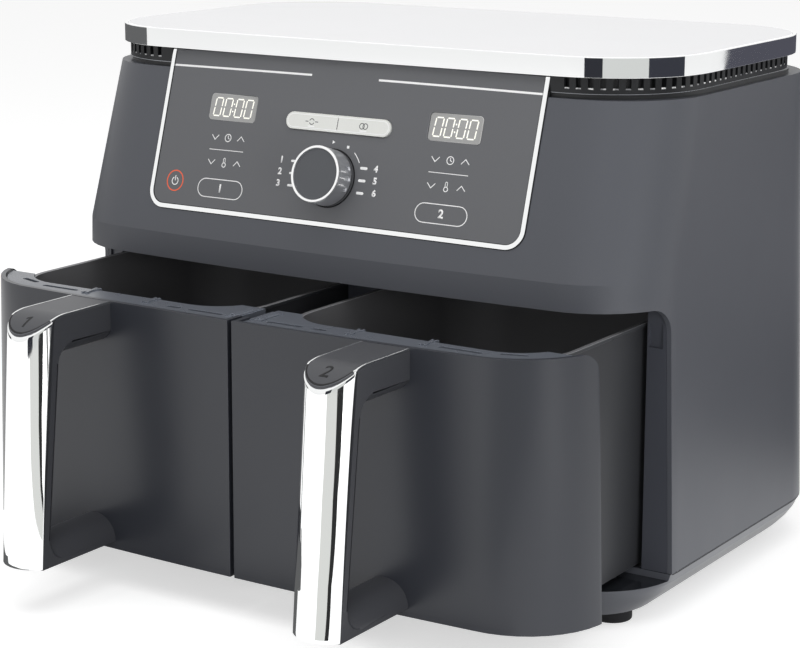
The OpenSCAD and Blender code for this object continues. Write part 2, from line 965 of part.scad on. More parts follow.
module heating_element(side) {
    mid = (ring_outer + ring_inner) / 2;
    color("#4a4442")
        sided(side)
            translate([pan_x, fan_y, element_z])
                union() {
                    element_tail(ring_outer, tail_outer_x);
                    element_tail(ring_inner, tail_inner_x);
                    tube_arc(mid * cos(hairpin_at), mid * sin(hairpin_at), hairpin_r, hairpin_at - 180, 180);
                    // flange that seats on the liner's back
                    translate([tail_inner_x - 9, liner_y1 + liner_t - fan_y, -9])
                        cube([tail_outer_x - tail_inner_x + 18, 2, 18]);
                }
}

// Stamped guard under the element: rings and spokes, hung from the roof on four straps.
guard_z = element_z - element_d / 2 - 6;
guard_t = 1.6;
guard_bar = 2.4;

module element_guard(side) {
    color("#a5a8ab")
        sided(side)
            translate([pan_x, fan_y, 0])
                union() {
                    translate([0, 0, guard_z])
                        linear_extrude(guard_t)
                            union() {
                                for (r = [16:14:72])
                                    difference() {
                                        circle(r = r + guard_bar / 2);
                                        circle(r = r - guard_bar / 2);
                                    }
                                for (a = [0:45:135])
                                    rotate(a)
                                        square([146, guard_bar], center = true);
                            }
                    for (a = [45:90:315])
                        rotate(a)
                            translate([71, -4, guard_z])
                                cube([guard_t, 8, liner_z1 - guard_z]);
                }
}

module motor(side) {
    color("#9a9c9f")
        sided(side)
            translate([pan_x, fan_y, 0])
                difference() {
                    union() {
                        translate([0, 0, motor_z])
                            cylinder(d = motor_d, h = motor_h);
                        for (a = [45:90:315])
                            rotate(a)
                                translate([motor_d / 2 - 3, 0, liner_z1 + liner_t])
                                    cylinder(d = 6, h = motor_z - liner_z1 - liner_t + 4);
                    }
                    translate([0, 0, motor_z - 1])
                        cylinder(d = shaft_d + 2 * run_gap, h = motor_h + 2);
                    for (a = [0:30:330])
                        rotate(a)
                            translate([motor_d / 2 - 3, -1.5, motor_z + 6])
                                cube([6, 3, motor_h - 12]);
                }
}

// Hot-air fan with its shaft: disc, hub and swept blades that face the element.
module hot_fan(side) {
    color("#b4b6b8")
        sided(side)
            translate([pan_x, fan_y, 0])
                union() {
                    translate([0, 0, fan_z + fan_h - 1.2])
                        cylinder(d = fan_d, h = 1.2);
                    translate([0, 0, fan_z])
                        cylinder(d = 22, h = fan_h);
                    for (i = [0:blade_count - 1])
                        rotate(i * 360 / blade_count)
                            translate([12, 0, fan_z])
                                rotate(18)
                                    translate([0, -0.6, 0])
                                        cube([fan_d / 2 - 18, 1.2, fan_h - 1]);
                    translate([0, 0, fan_z + fan_h - 1])
                        cylinder(d = shaft_d, h = cooling_z + 7 - fan_z - fan_h + 1);
                }
}

// Small fan on the same shaft, over the motor, that cools it.
module cooling_fan(side) {
    color("#202124")
        sided(side)
            translate([pan_x, fan_y, cooling_z])
                difference() {
                    union() {
                        cylinder(d = 20, h = 10);
                        cylinder(d = cooling_d - 6, h = 1);
                        for (i = [0:6])
                            rotate(i * 360 / 7 + 12)
                                translate([8, -0.6, 0.5])
                                    cube([cooling_d / 2 - 13, 1.2, 8.5]);
                    }
                    translate([0, 0, -1])
                        cylinder(d = shaft_d, h = 8);
                }
}

// Power board: stands on the liner roofs behind the motors, with its relays and coils.
power_w = 2 * pan_x - 8;
power_z = liner_z1 + liner_t + 9;
power_h = 48;

module power_board() {
    board_y = liner_y1 - 1;          // just behind the centre rib
    color("#1f5c38")
        union() {
            translate([-power_w / 2, board_y, power_z])
                cube([power_w, board_t, power_h]);
            for (i = [-2:2])
                translate([i * power_w / 6 - 8, board_y + board_t, power_z + 6])
                    cube([16, 7, power_h - 18]);
            // feet of the board on the liner roofs
            for (side = [-1, 1])
                translate([side * (power_w / 2 - 8) - 5, board_y - 8, liner_z1 + liner_t])
                    cube([10, 8 + board_t, power_z - liner_z1 - liner_t + 2]);
        }
}

// Switch behind each chamber that the closed pan would press.
module drawer_switches() {
    color("#2d2d30")
        for (side = [-1, 1])
            translate([side * pan_x - 10, liner_y1 + liner_t, pan_z + 0.7 * pan_h])
                union() {
                    cube([20, 8, 12]);
                    translate([4, 8, 2])
                        cube([12, 2, 8]);
                }
}

module base_screws() {
    color("silver")
        at_feet() {
            translate([0, 0, 1.4])
                cylinder(d = 7.6, h = 2.6);
            translate([0, 0, 4])
                cylinder(d = 4, h = 14);
        }
}

module rear_screws() {
    color("silver")
        on_back()
            at_rear_screws() {
                cylinder(d = 6.4, h = 1.8);
                translate([0, 0, -11])
                    cylinder(d = 3.2, h = 11);
            }
}

// Drawers ------------------------------------------------------------------------------

module in_drawer(side) {
    sided(side)
        translate([0, drawer_y, 0])
            children();
}

// The body's form brought forward to the drawer's own place.
module cover_form(inset) {
    translate([0, -front_y, 0])
        body_form(inset, 5);
}

// How far the cover's face has leaned back at height z.
function cover_lean(z) = chin_draft * (z - shell_z + 5) / (crease_z - shell_z + 5);

// Two screws hold each handle: one into its top arm, one into its lower arm.
module at_handle_screws() {
    for (z = [grip_z1 - 10, grip_z0 + 7])
        translate([handle_x, bow_at(handle_x) + cover_t + cover_lean(z), z])
            rotate([90, 0, 0])
                children();
}

module drawer_cover(side) {
    color("#3f4144")
        in_drawer(side)
            difference() {
                union() {
                    intersection() {
                        difference() {
                            cover_form(0);
                            cover_form(cover_t);
                        }
                        across(body_w + past)
                            opening_profile(cover_depth, cover_top_z, cover_z, opening_r - 2);
                        translate([seam / 2, -past, 0])
                            cube([body_w, body_d, 300]);
                    }
                    // return flange beside the other drawer
                    translate([seam / 2, cover_t + 0.5, cover_z])
                        cube([cover_t, 12, cover_h]);
                    // shelf that carries the pan's front edge
                    intersection() {
                        cover_form(cover_t - 0.5);
                        translate([seam / 2, 0, cover_z])
                            cube([body_w, pan_front + 8, pan_z - cover_z]);
                    }
                }
                at_handle_screws()
                    translate([0, 0, -5])
                        cylinder(d = 3.4, h = 30);
            }
}

module pan_outline(grow) {
    translate([pan_x, pan_front + pan_l / 2])
        rounded(pan_w + 2 * grow, pan_l + 2 * grow, pan_r + grow);
}

pan_rim_z = pan_z + pan_h;
pan_rim_w = 1.4;

module drawer_pan(side) {
    color("#2a2a2b")
        in_drawer(side)
            difference() {
                union() {
                    translate([0, 0, pan_z])
                        linear_extrude(pan_h)
                            pan_outline(0);
                    translate([0, 0, pan_rim_z - 2])
                        linear_extrude(2)
                            pan_outline(pan_rim_w);
                }
                translate([0, 0, pan_z + pan_t])
                    linear_extrude(pan_h)
                        pan_outline(-pan_t);
            }
}

// Moulded bridge between the cover and the pan's rim: long slots, ribs, and a catch at the seam.
bracket_t = 3.4;
bracket_slots = [[18, 25, 0], [49, 10, 0], [132, 28, 0], [169, 16, 4]];    // [x, length, offset back]

module drawer_bracket(side) {
    z0 = cover_top_z - bracket_t - 1.2;
    reach = pan_front + pan_r * 0.5;
    color("#4a4d52")
        in_drawer(side)
            difference() {
                union() {
                    translate([0, 0, z0])
                        linear_extrude(bracket_t)
                            difference() {
                                intersection() {
                                    polygon(plan_points(half_at(crease_z) - cover_t - 0.2,
                                        cover_t + chin_draft + seat, body_d / 2, front_r - cover_t, 20));
                                    translate([seam / 2 + cover_t + seat, 0])
                                        square([body_w, reach]);
                                }
                                pan_outline(pan_rim_w + seat);
                            }
                    // lip over the pan's rim
                    translate([0, 0, pan_rim_z])
                        linear_extrude(z0 + bracket_t - pan_rim_z)
                            intersection() {
                                difference() {
                                    pan_outline(pan_rim_w + 2 * seat);
                                    pan_outline(-pan_t);
                                }
                                translate([seam / 2 + cover_t + seat, 0])
                                    square([body_w, reach]);
                            }
                    // catch beside the seam: a barrel on a pad, with a rod that runs back
                    translate([seam / 2 + cover_t + 0.6, 14, pan_rim_z])
                        cube([8, 22, z0 + bracket_t + 0.6 - pan_rim_z]);
                    translate([seam / 2 + cover_t + 4.6, 16, z0 + bracket_t - 1])
                        rotate([-90, 0, 0])
                            cylinder(d = 5, h = 18);
                    // ribs either side of the handle
                    for (x = [handle_x - 32, handle_x + 16], turn = [-14, 14])
                        translate([x, 20 + bow_at(x), z0 + bracket_t - 1])
                            rotate(turn)
                                translate([-0.8, -7, 0])
                                    cube([1.6, 14, 1.8]);
                }
                for (slot = bracket_slots)
                    translate([slot[0], 14 + bow_at(slot[0] + slot[1] / 2) + slot[2], z0 - 1])
                        rotate(slot[2] * 4)
                            linear_extrude(bracket_t + 4)
                                rounded_slot(slot[1], 3.4);
            }
}

module rounded_slot(l, w) {
    square([l - w, w]);
    translate([0, w / 2])
        circle(d = w);
    translate([l - w, w / 2])
        circle(d = w);
}

// Handle. It is one width all the way: a top arm, a grip that rakes forward, and a lower arm.
// Its profile is drawn in (y, z), with the cover at y = 0 and the handle in front at negative y.
nose_top = handle_w / 2 - 0.4;   // depth of the rounded front at the top of the grip, nearly a half circle
nose_low = 7.3;                  // and at its lower end
skin_gap = 0.1;                  // room for the adhesive between the grip and its chrome skin
grip_flat = 5;                   // flat side between the two rounded faces
bulge = 8;                       // depth of the rounded inner face
flank_top = handle_reach - handle_rake - nose_top;
flank_low = handle_reach - nose_low;
arm_z = grip_z1 - 18;            // crease under the top arm
foot_z = grip_z0 + 3;            // crease on top of the lower arm
cap_t = 1.4;
cap_edge = 1.1;                  // width of the chrome line along each side of the cap
cap_past = 3;                    // those lines run on this far round the front
inner_r = 12;                    // rounding between the arms and the grip, on the side of the hand
cap_flat = 36;                   // the top is level this far out, then curves down
cap_drop = 9.6;
cap_run = handle_reach - handle_rake - cap_flat;
cap_r = (cap_run * cap_run + cap_drop * cap_drop) / (2 * cap_drop);
root = 8;                        // the arms run this far back before the cover's form cuts them

// Radius of an arc that bulges by depth over the handle's width.
function arc_r(depth, w = handle_w) = (w * w / 4 + depth * depth) / (2 * depth);

// Reach of the edge between the flat side and the rounded front.
function flank_at(z) = flank_low - (flank_low - flank_top) * (z - grip_z0) / (grip_z1 - grip_z0);
flank_rake = atan((flank_low - flank_top) / (grip_z1 - grip_z0));

// Place along y of the centre of an inner rounding at height z.
function corner_y(z) = -flank_at(z) + grip_flat + inner_r / cos(flank_rake);
corner_root = 2;                 // the rounded face reaches this deep into the flat sides at a corner
corner_top_z = arm_z - inner_r;
corner_low_z = foot_z + inner_r;

// Everything under the handle's curved top, lowered by drop.
module under_top(drop) {
    translate([-cap_flat, grip_z0])
        square([cap_flat + root, grip_z1 - drop - grip_z0]);
    translate([-cap_flat, grip_z1 - cap_r])
        circle(r = cap_r - drop, $fn = 120);
    translate([-2 * handle_reach, grip_z0])
        square([2 * handle_reach, grip_z1 - cap_r - grip_z0]);
}

module handle_across(w = handle_w) {
    translate([handle_x, 0, 0])
        across(w)
            children();
}

// The rounded front: part of a cone that is sharper at the top, between the flat sides.
module grip_nose(shrink) {
    r_top = arc_r(nose_top);
    r_low = arc_r(nose_low);
    y_top = -handle_reach + handle_rake + r_top;
    y_low = -handle_reach + r_low;
    tip = atan((y_top - y_low) / (grip_z1 - grip_z0));
    intersection() {
        translate([handle_x, y_low, grip_z0])
            rotate([-tip, 0, 0])
                cylinder(r1 = r_low - shrink, r2 = r_top - shrink, h = (grip_z1 - grip_z0) / cos(tip));
        handle_across(handle_w - 2 * shrink)
            intersection() {
                under_top(cap_t);
                polygon([[-flank_low, grip_z0], [-flank_top, grip_z1], [-200, grip_z1], [-200, grip_z0]]);
            }
    }
}

// Segment of a circle over the handle's width, bulging to +y, on a straight-sided root.
module half_round(depth, under = 0) {
    intersection() {
        translate([0, depth - arc_r(depth)])
            circle(r = arc_r(depth), $fn = 96);
        translate([-handle_w / 2, -under])
            square([handle_w, under + depth + 1]);
    }
}

// The same rounded face carried round an inner corner whose centre is at height z, from angle from.
module corner_round(z, from, turn) {
    translate([handle_x, corner_y(z), z])
        rotate([90, 0, 90])
            rotate([0, 0, from])
                rotate_extrude(angle = turn, $fn = 96)
                    translate([inner_r, 0])
                        rotate(90)
                            half_round(bulge, corner_root);
}

module handle_flats() {
    handle_across()
        intersection() {
            under_top(cap_t);
            polygon(concat(
                [[root, arm_z], [root, grip_z1], [-flank_top, grip_z1], [-flank_low, grip_z0],
                    [-12, grip_z0], [-20, foot_z]],
                arc(corner_y(corner_low_z), corner_low_z, inner_r + 1, 270, 180 - flank_rake, 12),
                arc(corner_y(corner_top_z), corner_top_z, inner_r + 1, 180 - flank_rake, 90, 12)));
        }
}

// Rounded inner faces of the top arm and the grip, and the arched lower arm.
module handle_rounds() {
    intersection() {
        union() {
            translate([handle_x, root, arm_z])
                rotate([90, 180, 0])
                    linear_extrude(root - corner_y(corner_top_z))
                        half_round(bulge);
            corner_round(corner_top_z, 90, 90 - flank_rake);
            corner_round(corner_low_z, 180 - flank_rake, 90 + flank_rake);
            translate([handle_x, -flank_at(foot_z - 4) + grip_flat - 0.1, foot_z - 4])
                rotate([-flank_rake, 0, 0])
                    linear_extrude((corner_top_z + inner_r * sin(flank_rake) - foot_z + 4) / cos(flank_rake))
                        half_round(bulge);
            translate([handle_x, root, grip_z0])
                rotate([90, 0, 0])
                    cylinder(d = handle_w, h = flank_low + root);
        }
        handle_across(handle_w + 2)
            polygon([[root, grip_z0], [root, grip_z1 - cap_t - 1], [-flank_top, grip_z1 - cap_t - 1],
                [-flank_low, grip_z0]]);
    }
}

module handle_grip(side) {
    color("#3c3e42")
        in_drawer(side)
            difference() {
                union() {
                    handle_flats();
                    handle_rounds();
                    grip_nose(chrome_t + skin_gap);
                }
                cover_form(0);
                at_handle_screws()
                    translate([0, 0, -5])
                        cylinder(d = 3.4, h = 30);
            }
}

// Plan outline of the handle's top: straight sides and the round front end.
module cap_outline(grow) {
    r = arc_r(nose_top);
    intersection() {
        translate([-handle_w / 2 - grow, -handle_reach])
            square([handle_w + 2 * grow, handle_reach + root]);
        union() {
            translate([0, r - handle_reach + handle_rake])
                circle(r = r + grow);
            translate([-handle_w / 2 - grow, r - handle_reach + handle_rake])
                square([handle_w + 2 * grow, handle_reach]);
        }
    }
}

// Plan outline of the cap: between the chrome lines at the sides, and over the whole rounded front.
module cap_plan() {
    cap_outline(-cap_edge - 0.05);
    intersection() {
        cap_outline(-0.25);
        translate([-handle_w, -2 * handle_reach])
            square([2 * handle_w, 2 * handle_reach - flank_top - cap_past - 0.1]);
    }
}

// A slice of the handle just under its curved top, from depth d0 to d1, with the plan outline given.
module cap_layer(d0, d1) {
    intersection() {
        translate([handle_x, 0, grip_z0])
            linear_extrude(grip_z1 - grip_z0 + 1)
                children();
        handle_across(handle_w + 4)
            difference() {
                intersection() {
                    under_top(d0);
                    translate([-handle_reach, grip_z1 - 30])
                        square([handle_reach + root, 40]);
                }
                under_top(d1);
            }
    }
}

// Chrome skin over the rounded front, with a thin line along each side of the cap.
module handle_chrome(side) {
    color("#e8eaec")
        in_drawer(side)
            difference() {
                union() {
                    difference() {
                        grip_nose(0);
                        grip_nose(chrome_t);
                    }
                    cap_layer(0, cap_t)
                        difference() {
                            cap_outline(0);
                            cap_outline(-cap_edge);
                            translate([-handle_w, -2 * handle_reach])
                                square([2 * handle_w, 2 * handle_reach - flank_top - cap_past]);
                        }
                }
                cover_form(0);
            }
}

// Satin cap let into the top of the handle.
module handle_cap(side) {
    color("#4b4d51")
        in_drawer(side)
            difference() {
                cap_layer(0.2, cap_t)
                    cap_plan();
                cover_form(0);
            }
}

module handle_screws(side) {
    color("silver")
        in_drawer(side)
            at_handle_screws()
                union() {
                    translate([0, 0, -2.6])
                        cylinder(d = 6.5, h = 2.3);
                    translate([0, 0, -0.4])
                        cylinder(d = 3, h = 17);
                }
}

// Perforated plate that the food lies on, held clear of the pan floor by its legs.
plate_gap = 3;

module crisper_plate(side) {
    w = pan_w - 2 * pan_t - 2 * plate_gap;
    l = pan_l - 2 * pan_t - 2 * plate_gap;
    color("#3a3a3b")
        in_drawer(side)
            translate([pan_x, pan_front + pan_l / 2, 0])
                difference() {
                    union() {
                        translate([0, 0, plate_z])
                            linear_extrude(2)
                                difference() {
                                    rounded(w, l, pan_r - pan_t - plate_gap);
                                    for (i = [-5:5], j = [-6:6])
                                        if (abs(i) + abs(j) > 1)
                                            translate([i * 13, j * 13])
                                                rotate((i + j) % 2 == 0 ? 45 : -45)
                                                    translate([-3, -1.1])
                                                        rounded_slot(8.2, 2.2);
                                }
                        translate([0, 0, plate_z])
                            cylinder(d = 26, h = 2);
                        for (x = [-w / 2 + 26, w / 2 - 26], y = [-l / 2 + 26, l / 2 - 26])
                            translate([x, y, pan_z + pan_t + fit])
                                cylinder(d = 7, h = plate_rise - fit + 1);
                    }
                    translate([0, 0, plate_z - 1])
                        cylinder(d = 14, h = 4);
                }
}

// Silicone bumpers on the plate's edge, just clear of the pan's walls.
module plate_pads(side) {
    w = pan_w - 2 * pan_t;
    l = pan_l - 2 * pan_t;
    color("#6f7276")
        in_drawer(side)
            translate([pan_x, pan_front + pan_l / 2, plate_z - 3])
                for (sx = [-1, 1], sy = [-1, 1])
                    translate([sx * (w / 2 - fit - 1.2), sy * (l / 2 - 60), 4])
                        cube([plate_gap - fit - 0.6 + 0.3, 16, 8], center = true);
}

base_tray();
rubber_feet();
outer_shell();
front_frame();
rear_cover();
cord_gland();
top_deck();
vent_ring();
lid_rim();
lid_top();
control_fascia();
panel_trim();
display_window(-1);  // display_window_left
display_window(1);  // display_window_right
display_modules();
control_board();
dial_encoder();
centre_rib();
drawer_guides();
power_board();
drawer_switches();
deck_screws();
base_screws();
rear_screws();
mode_key();
dial_shaft();
dial_knob();
dial_ring();
chamber_liner(-1);  // chamber_liner_left
chamber_liner(1);  // chamber_liner_right
heating_element(-1);  // heating_element_left
heating_element(1);  // heating_element_right
element_guard(-1);  // element_guard_left
element_guard(1);  // element_guard_right
motor(-1);  // motor_left
motor(1);  // motor_right
hot_fan(-1);  // hot_fan_left
hot_fan(1);  // hot_fan_right
cooling_fan(-1);  // cooling_fan_left
cooling_fan(1);  // cooling_fan_right
drawer_pan(-1);  // drawer_pan_left
drawer_pan(1);  // drawer_pan_right
drawer_cover(-1);  // drawer_cover_left
drawer_cover(1);  // drawer_cover_right
drawer_bracket(-1);  // drawer_bracket_left
drawer_bracket(1);  // drawer_bracket_right
handle_grip(-1);  // handle_grip_left
handle_grip(1);  // handle_grip_right
handle_chrome(-1);  // handle_chrome_left
handle_chrome(1);  // handle_chrome_right
handle_cap(-1);  // handle_cap_left
handle_cap(1);  // handle_cap_right
handle_screws(-1);  // handle_screws_left
handle_screws(1);  // handle_screws_right
crisper_plate(-1);  // crisper_plate_left
crisper_plate(1);  // crisper_plate_right
plate_pads(-1);  // plate_pads_left
plate_pads(1);  // plate_pads_right
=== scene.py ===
import json
import math

import bmesh
import bpy
from mathutils import Matrix, Vector
from mathutils.bvhtree import BVHTree

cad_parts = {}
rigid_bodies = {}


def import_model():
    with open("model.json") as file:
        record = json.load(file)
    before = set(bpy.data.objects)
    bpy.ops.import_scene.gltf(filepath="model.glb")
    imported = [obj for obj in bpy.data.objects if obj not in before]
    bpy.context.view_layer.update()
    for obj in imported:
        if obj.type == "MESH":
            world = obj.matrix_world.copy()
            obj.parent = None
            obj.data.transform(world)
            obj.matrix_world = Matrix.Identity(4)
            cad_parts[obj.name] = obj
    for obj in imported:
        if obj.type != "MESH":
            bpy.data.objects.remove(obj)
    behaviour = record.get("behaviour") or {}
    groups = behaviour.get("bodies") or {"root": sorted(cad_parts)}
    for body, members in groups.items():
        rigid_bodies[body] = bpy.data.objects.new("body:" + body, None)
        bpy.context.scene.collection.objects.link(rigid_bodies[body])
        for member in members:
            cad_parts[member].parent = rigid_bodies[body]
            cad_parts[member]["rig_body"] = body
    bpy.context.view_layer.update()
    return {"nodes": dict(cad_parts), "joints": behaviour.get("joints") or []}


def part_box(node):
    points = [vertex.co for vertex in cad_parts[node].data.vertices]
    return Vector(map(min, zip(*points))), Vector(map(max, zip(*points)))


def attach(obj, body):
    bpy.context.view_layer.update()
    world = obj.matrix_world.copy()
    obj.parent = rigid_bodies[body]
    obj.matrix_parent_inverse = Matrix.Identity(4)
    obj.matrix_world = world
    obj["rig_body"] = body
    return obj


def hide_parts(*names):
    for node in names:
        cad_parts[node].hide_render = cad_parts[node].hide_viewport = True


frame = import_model()
nodes = frame["nodes"]
mm = 0.001
SIDES = (("left", -1), ("right", 1))
FLOAT, VECTOR, COLOUR = "NodeSocketFloat", "NodeSocketVector", "NodeSocketColor"
GEOMETRY, WHOLE, MATERIAL = "NodeSocketGeometry", "NodeSocketInt", "NodeSocketMaterial"

# Camera -------------------------------------------------------
# A long lens at about standing height, in front of the appliance and to its right.
camera = bpy.data.objects.new("camera", bpy.data.cameras.new("camera"))
bpy.context.scene.collection.objects.link(camera)
camera.data.lens = 99.75
camera.data.sensor_width = 36
camera.data.clip_start = 0.05
across = Vector((0.8329, 0.5535, 0)).normalized()
behind = Vector((0.5390, -0.8111, 0.2270)).normalized()
upward = behind.cross(across).normalized()
camera.matrix_world = Matrix((
    (across.x, upward.x, behind.x, 0.7625),
    (across.y, upward.y, behind.y, -1.11675),
    (across.z, upward.z, behind.z, 0.4635),
    (0, 0, 0, 1)))
bpy.context.scene.camera = camera
bpy.context.scene.view_settings.view_transform = "Standard"


# Studio -------------------------------------------------------
# Pale sweep under and behind the appliance, soft lamps over it, in front and at both sides.
# Dark and grey flags stand out of view, so that bright metal has something to mirror.
def add(tree, kind, inputs=None, **settings):
    """Adds a node. Its inputs, by name or number, are plain values or other nodes' outputs."""
    made = tree.nodes.new(kind)
    for title, value in settings.items():
        setattr(made, title, value)
    for place, value in (inputs or {}).items():
        if isinstance(value, bpy.types.NodeSocket):
            tree.links.new(value, made.inputs[place])
        else:
            made.inputs[place].default_value = value
    return made


def maths(tree, operation, *values):
    return add(tree, "ShaderNodeMath", dict(enumerate(values)), operation=operation).outputs[0]


def seen_level(tree, unseen, seen):
    """One strength for what is looked at or mirrored, and a lower one for the light it gives."""
    rays = add(tree, "ShaderNodeLightPath").outputs
    either = maths(tree, "MAXIMUM", rays["Is Camera Ray"], rays["Is Glossy Ray"])
    either = maths(tree, "MAXIMUM", either, rays["Is Transmission Ray"])
    level = add(tree, "ShaderNodeMapRange", {"Value": either, "To Min": unseen, "To Max": seen})
    return level.outputs["Result"]


def bare_material(name):
    material = bpy.data.materials.new(name)
    material.use_nodes = True
    material.node_tree.nodes.clear()
    return material, material.node_tree


world = bpy.data.worlds.new("studio_air")
bpy.context.scene.world = world
world.use_nodes = True
air = world.node_tree
air.nodes.clear()
sky = add(air, "ShaderNodeBackground", {"Color": (1, 1, 1, 1), "Strength": seen_level(air, 0.50, 1.0)})
add(air, "ShaderNodeOutputWorld", {"Surface": sky.outputs["Background"]})

for name, place, target, size, power in (
        ("lamp_over", (0.1, -0.5, 1.9), (0, 0.05, 0.15), (2.0, 1.6), 17),
        ("lamp_right", (2.1, -0.8, 0.6), (0, 0.05, 0.15), (1.4, 1.4), 9.5),
        ("lamp_left", (-1.8, -1.2, 1.0), (0, 0.05, 0.15), (1.4, 1.4), 2.5),
        ("lamp_front", (0.9, -2.0, 0.75), (0, 0.0, 0.15), (0.7, 0.7), 8.5),
        ("lamp_low", (1.0, -0.5, 0.12), (0.2, -0.05, 0.06), (0.3, 0.16), 1.8)):
    lamp = bpy.data.objects.new(name, bpy.data.lights.new(name, "AREA"))
    bpy.context.scene.collection.objects.link(lamp)
    lamp.data.shape = "RECTANGLE"
    lamp.data.size, lamp.data.size_y = size
    lamp.data.energy = power
    lamp.location = place
    lamp.rotation_euler = (Vector(target) - Vector(place)).to_track_quat("-Z", "Y").to_euler()
    lamp.visible_camera = False
    lamp.visible_glossy = False


def stage_sheet(name, points, paint):
    mesh = bpy.data.meshes.new(name)
    mesh.from_pydata(points, [], [tuple(range(len(points)))])
    sheet = bpy.data.objects.new(name, mesh)
    bpy.context.scene.collection.objects.link(sheet)
    mesh.materials.append(paint)
    return sheet


floor_paint, tree = bare_material("floor_paint")
lit = add(tree, "ShaderNodeBsdfDiffuse", {"Color": (0.72, 0.72, 0.72, 1)})
glow = add(tree, "ShaderNodeEmission", {"Color": (1, 1, 1, 1), "Strength": seen_level(tree, 0.0, 0.56)})
both = add(tree, "ShaderNodeAddShader", {0: lit.outputs[0], 1: glow.outputs[0]})
add(tree, "ShaderNodeOutputMaterial", {"Surface": both.outputs[0]})
stage_sheet("floor", [(-12, -12, 0), (12, -12, 0), (12, 12, 0), (-12, 12, 0)], floor_paint)


def flag(name, level, green, blue, points):
    """Sheet that only shows in reflections, at a plain level."""
    paint, tree = bare_material(name)
    shine = add(tree, "ShaderNodeEmission", {"Color": (level, level * green, level * blue, 1)})
    add(tree, "ShaderNodeOutputMaterial", {"Surface": shine.outputs[0]})
    sheet = stage_sheet(name, points, paint)
    for ray in ("camera", "diffuse", "shadow", "transmission", "volume_scatter"):
        setattr(sheet, "visible_" + ray, False)


# flags that lie on the floor: level, blue, height over the floor, and the outline
for name, level, blue, height, outline in (
        ("flag_floor_grey", 0.74, 0.98, 0.002, (
            (0.085, -0.315), (0.140, -0.311), (0.224, -0.448), (0.448, -0.660), (1.160, -1.080),
            (1.020, -1.600), (0.370, -1.560), (0.106, -0.775), (0.073, -0.473))),
        ("flag_floor_dark", 0.03, 1.03, 0.003, (
            (0.140, -0.311), (0.159, -0.302), (0.268, -0.421), (0.562, -0.547), (1.450, -0.520),
            (1.160, -1.080), (0.448, -0.660), (0.224, -0.448))),
        ("flag_floor_back", 0.36, 1.1, 0.002, ((0.25, 0.84), (1.10, 0.84), (1.15, 3.00), (0.25, 3.00))),
        ("flag_floor_far", 0.04, 1.2, 0.002, ((0.25, 0.335), (0.90, 0.335), (0.90, 0.84), (0.25, 0.84))),
        ("flag_floor_card", 1.30, 1.03, 0.002, ((0.215, -0.20), (0.40, -0.20), (0.40, 0.27), (0.215, 0.27))),
        # a dark sheet under the drawers: painted shadow of the floor there, seen only in reflections
        ("flag_floor_shadow_under", 0.12, 1.03, 0.002, (
            (-0.235, -0.060), (-0.235, -0.245), (-0.150, -0.275), (-0.090, -0.262), (-0.082, -0.205),
            (0.200, -0.205), (0.200, -0.060)))):
    flag(name, level, 1.01, blue, [(x, y, height) for x, y in outline])
# a dark board stands behind, and four stand round the front on one circle, from angle to angle
flag("flag_back_dark", 0.082, 1.01, 1.28, [
    (0.556, 0.775, 0.15), (0.556, 0.775, 0.28), (-0.270, 1.158, 0.28), (-0.270, 1.158, 0.15)])
flag_circle, flag_high = 1.5, 0.25
for name, level, green, blue, start, end in (
        ("flag_front_narrow", 0.032, 1.05, 1.3, 5, 24), ("flag_front_grey", 0.68, 1.02, 1.0, 24, 69),
        ("flag_side_dark", 0.042, 1.05, 1.35, 69, 107), ("flag_left_grey", 0.13, 1.01, 1.03, -150, -64)):
    flag(name, level, green, blue, [
        (flag_circle * math.sin(math.radians(turn)), -flag_circle * math.cos(math.radians(turn)), height)
        for turn, height in ((start, 0.0), (end, 0.0), (end, flag_high), (start, flag_high))])


# Outer shell --------------------------------------------------
# One injection-moulded body in satin dark grey. Its front leans back above a crease, its
# corners are large and round, and the mould's parting edges are broken by a small radius.
def node_group(name, family, inputs, outputs):
    """An empty group of nodes, and the outputs of its entry."""
    group = bpy.data.node_groups.new(name, family)
    for title, kind, value in inputs:
        socket = group.interface.new_socket(name=title, in_out="INPUT", socket_type=kind)
        if value is not None:
            socket.default_value = value
    for title, kind in outputs:
        group.interface.new_socket(name=title, in_out="OUTPUT", socket_type=kind)
    return group, group.nodes.new("NodeGroupInput").outputs


def leave(group, outputs):
    add(group, "NodeGroupOutput", outputs)


def leave_dressed(tree, geometry, finish):
    """Ends a tree of Geometry Nodes with plain geometry in its finish."""
    real = add(tree, "GeometryNodeRealizeInstances", {"Geometry": geometry})
    dress = add(tree, "GeometryNodeSetMaterial", {"Geometry": real.outputs["Geometry"], "Material": finish})
    leave(tree, {"Geometry": dress.outputs["Geometry"]})
    return tree


def noise(tree, vector, scale, detail, distortion=0.0):
    return add(tree, "ShaderNodeTexNoise", {
        "Vector": vector, "Scale": scale, "Detail": detail, "Distortion": distortion}).outputs["Fac"]


def spread_out(tree, fac, share, middle):
    """A noise that swings round a middle value by a share of itself."""
    return maths(tree, "MULTIPLY_ADD", maths(tree, "SUBTRACT", fac, 0.5), share, middle)


def tinted(tree, colour, scale):
    return add(tree, "ShaderNodeVectorMath", {0: colour, "Scale": scale}, operation="SCALE").outputs[0]
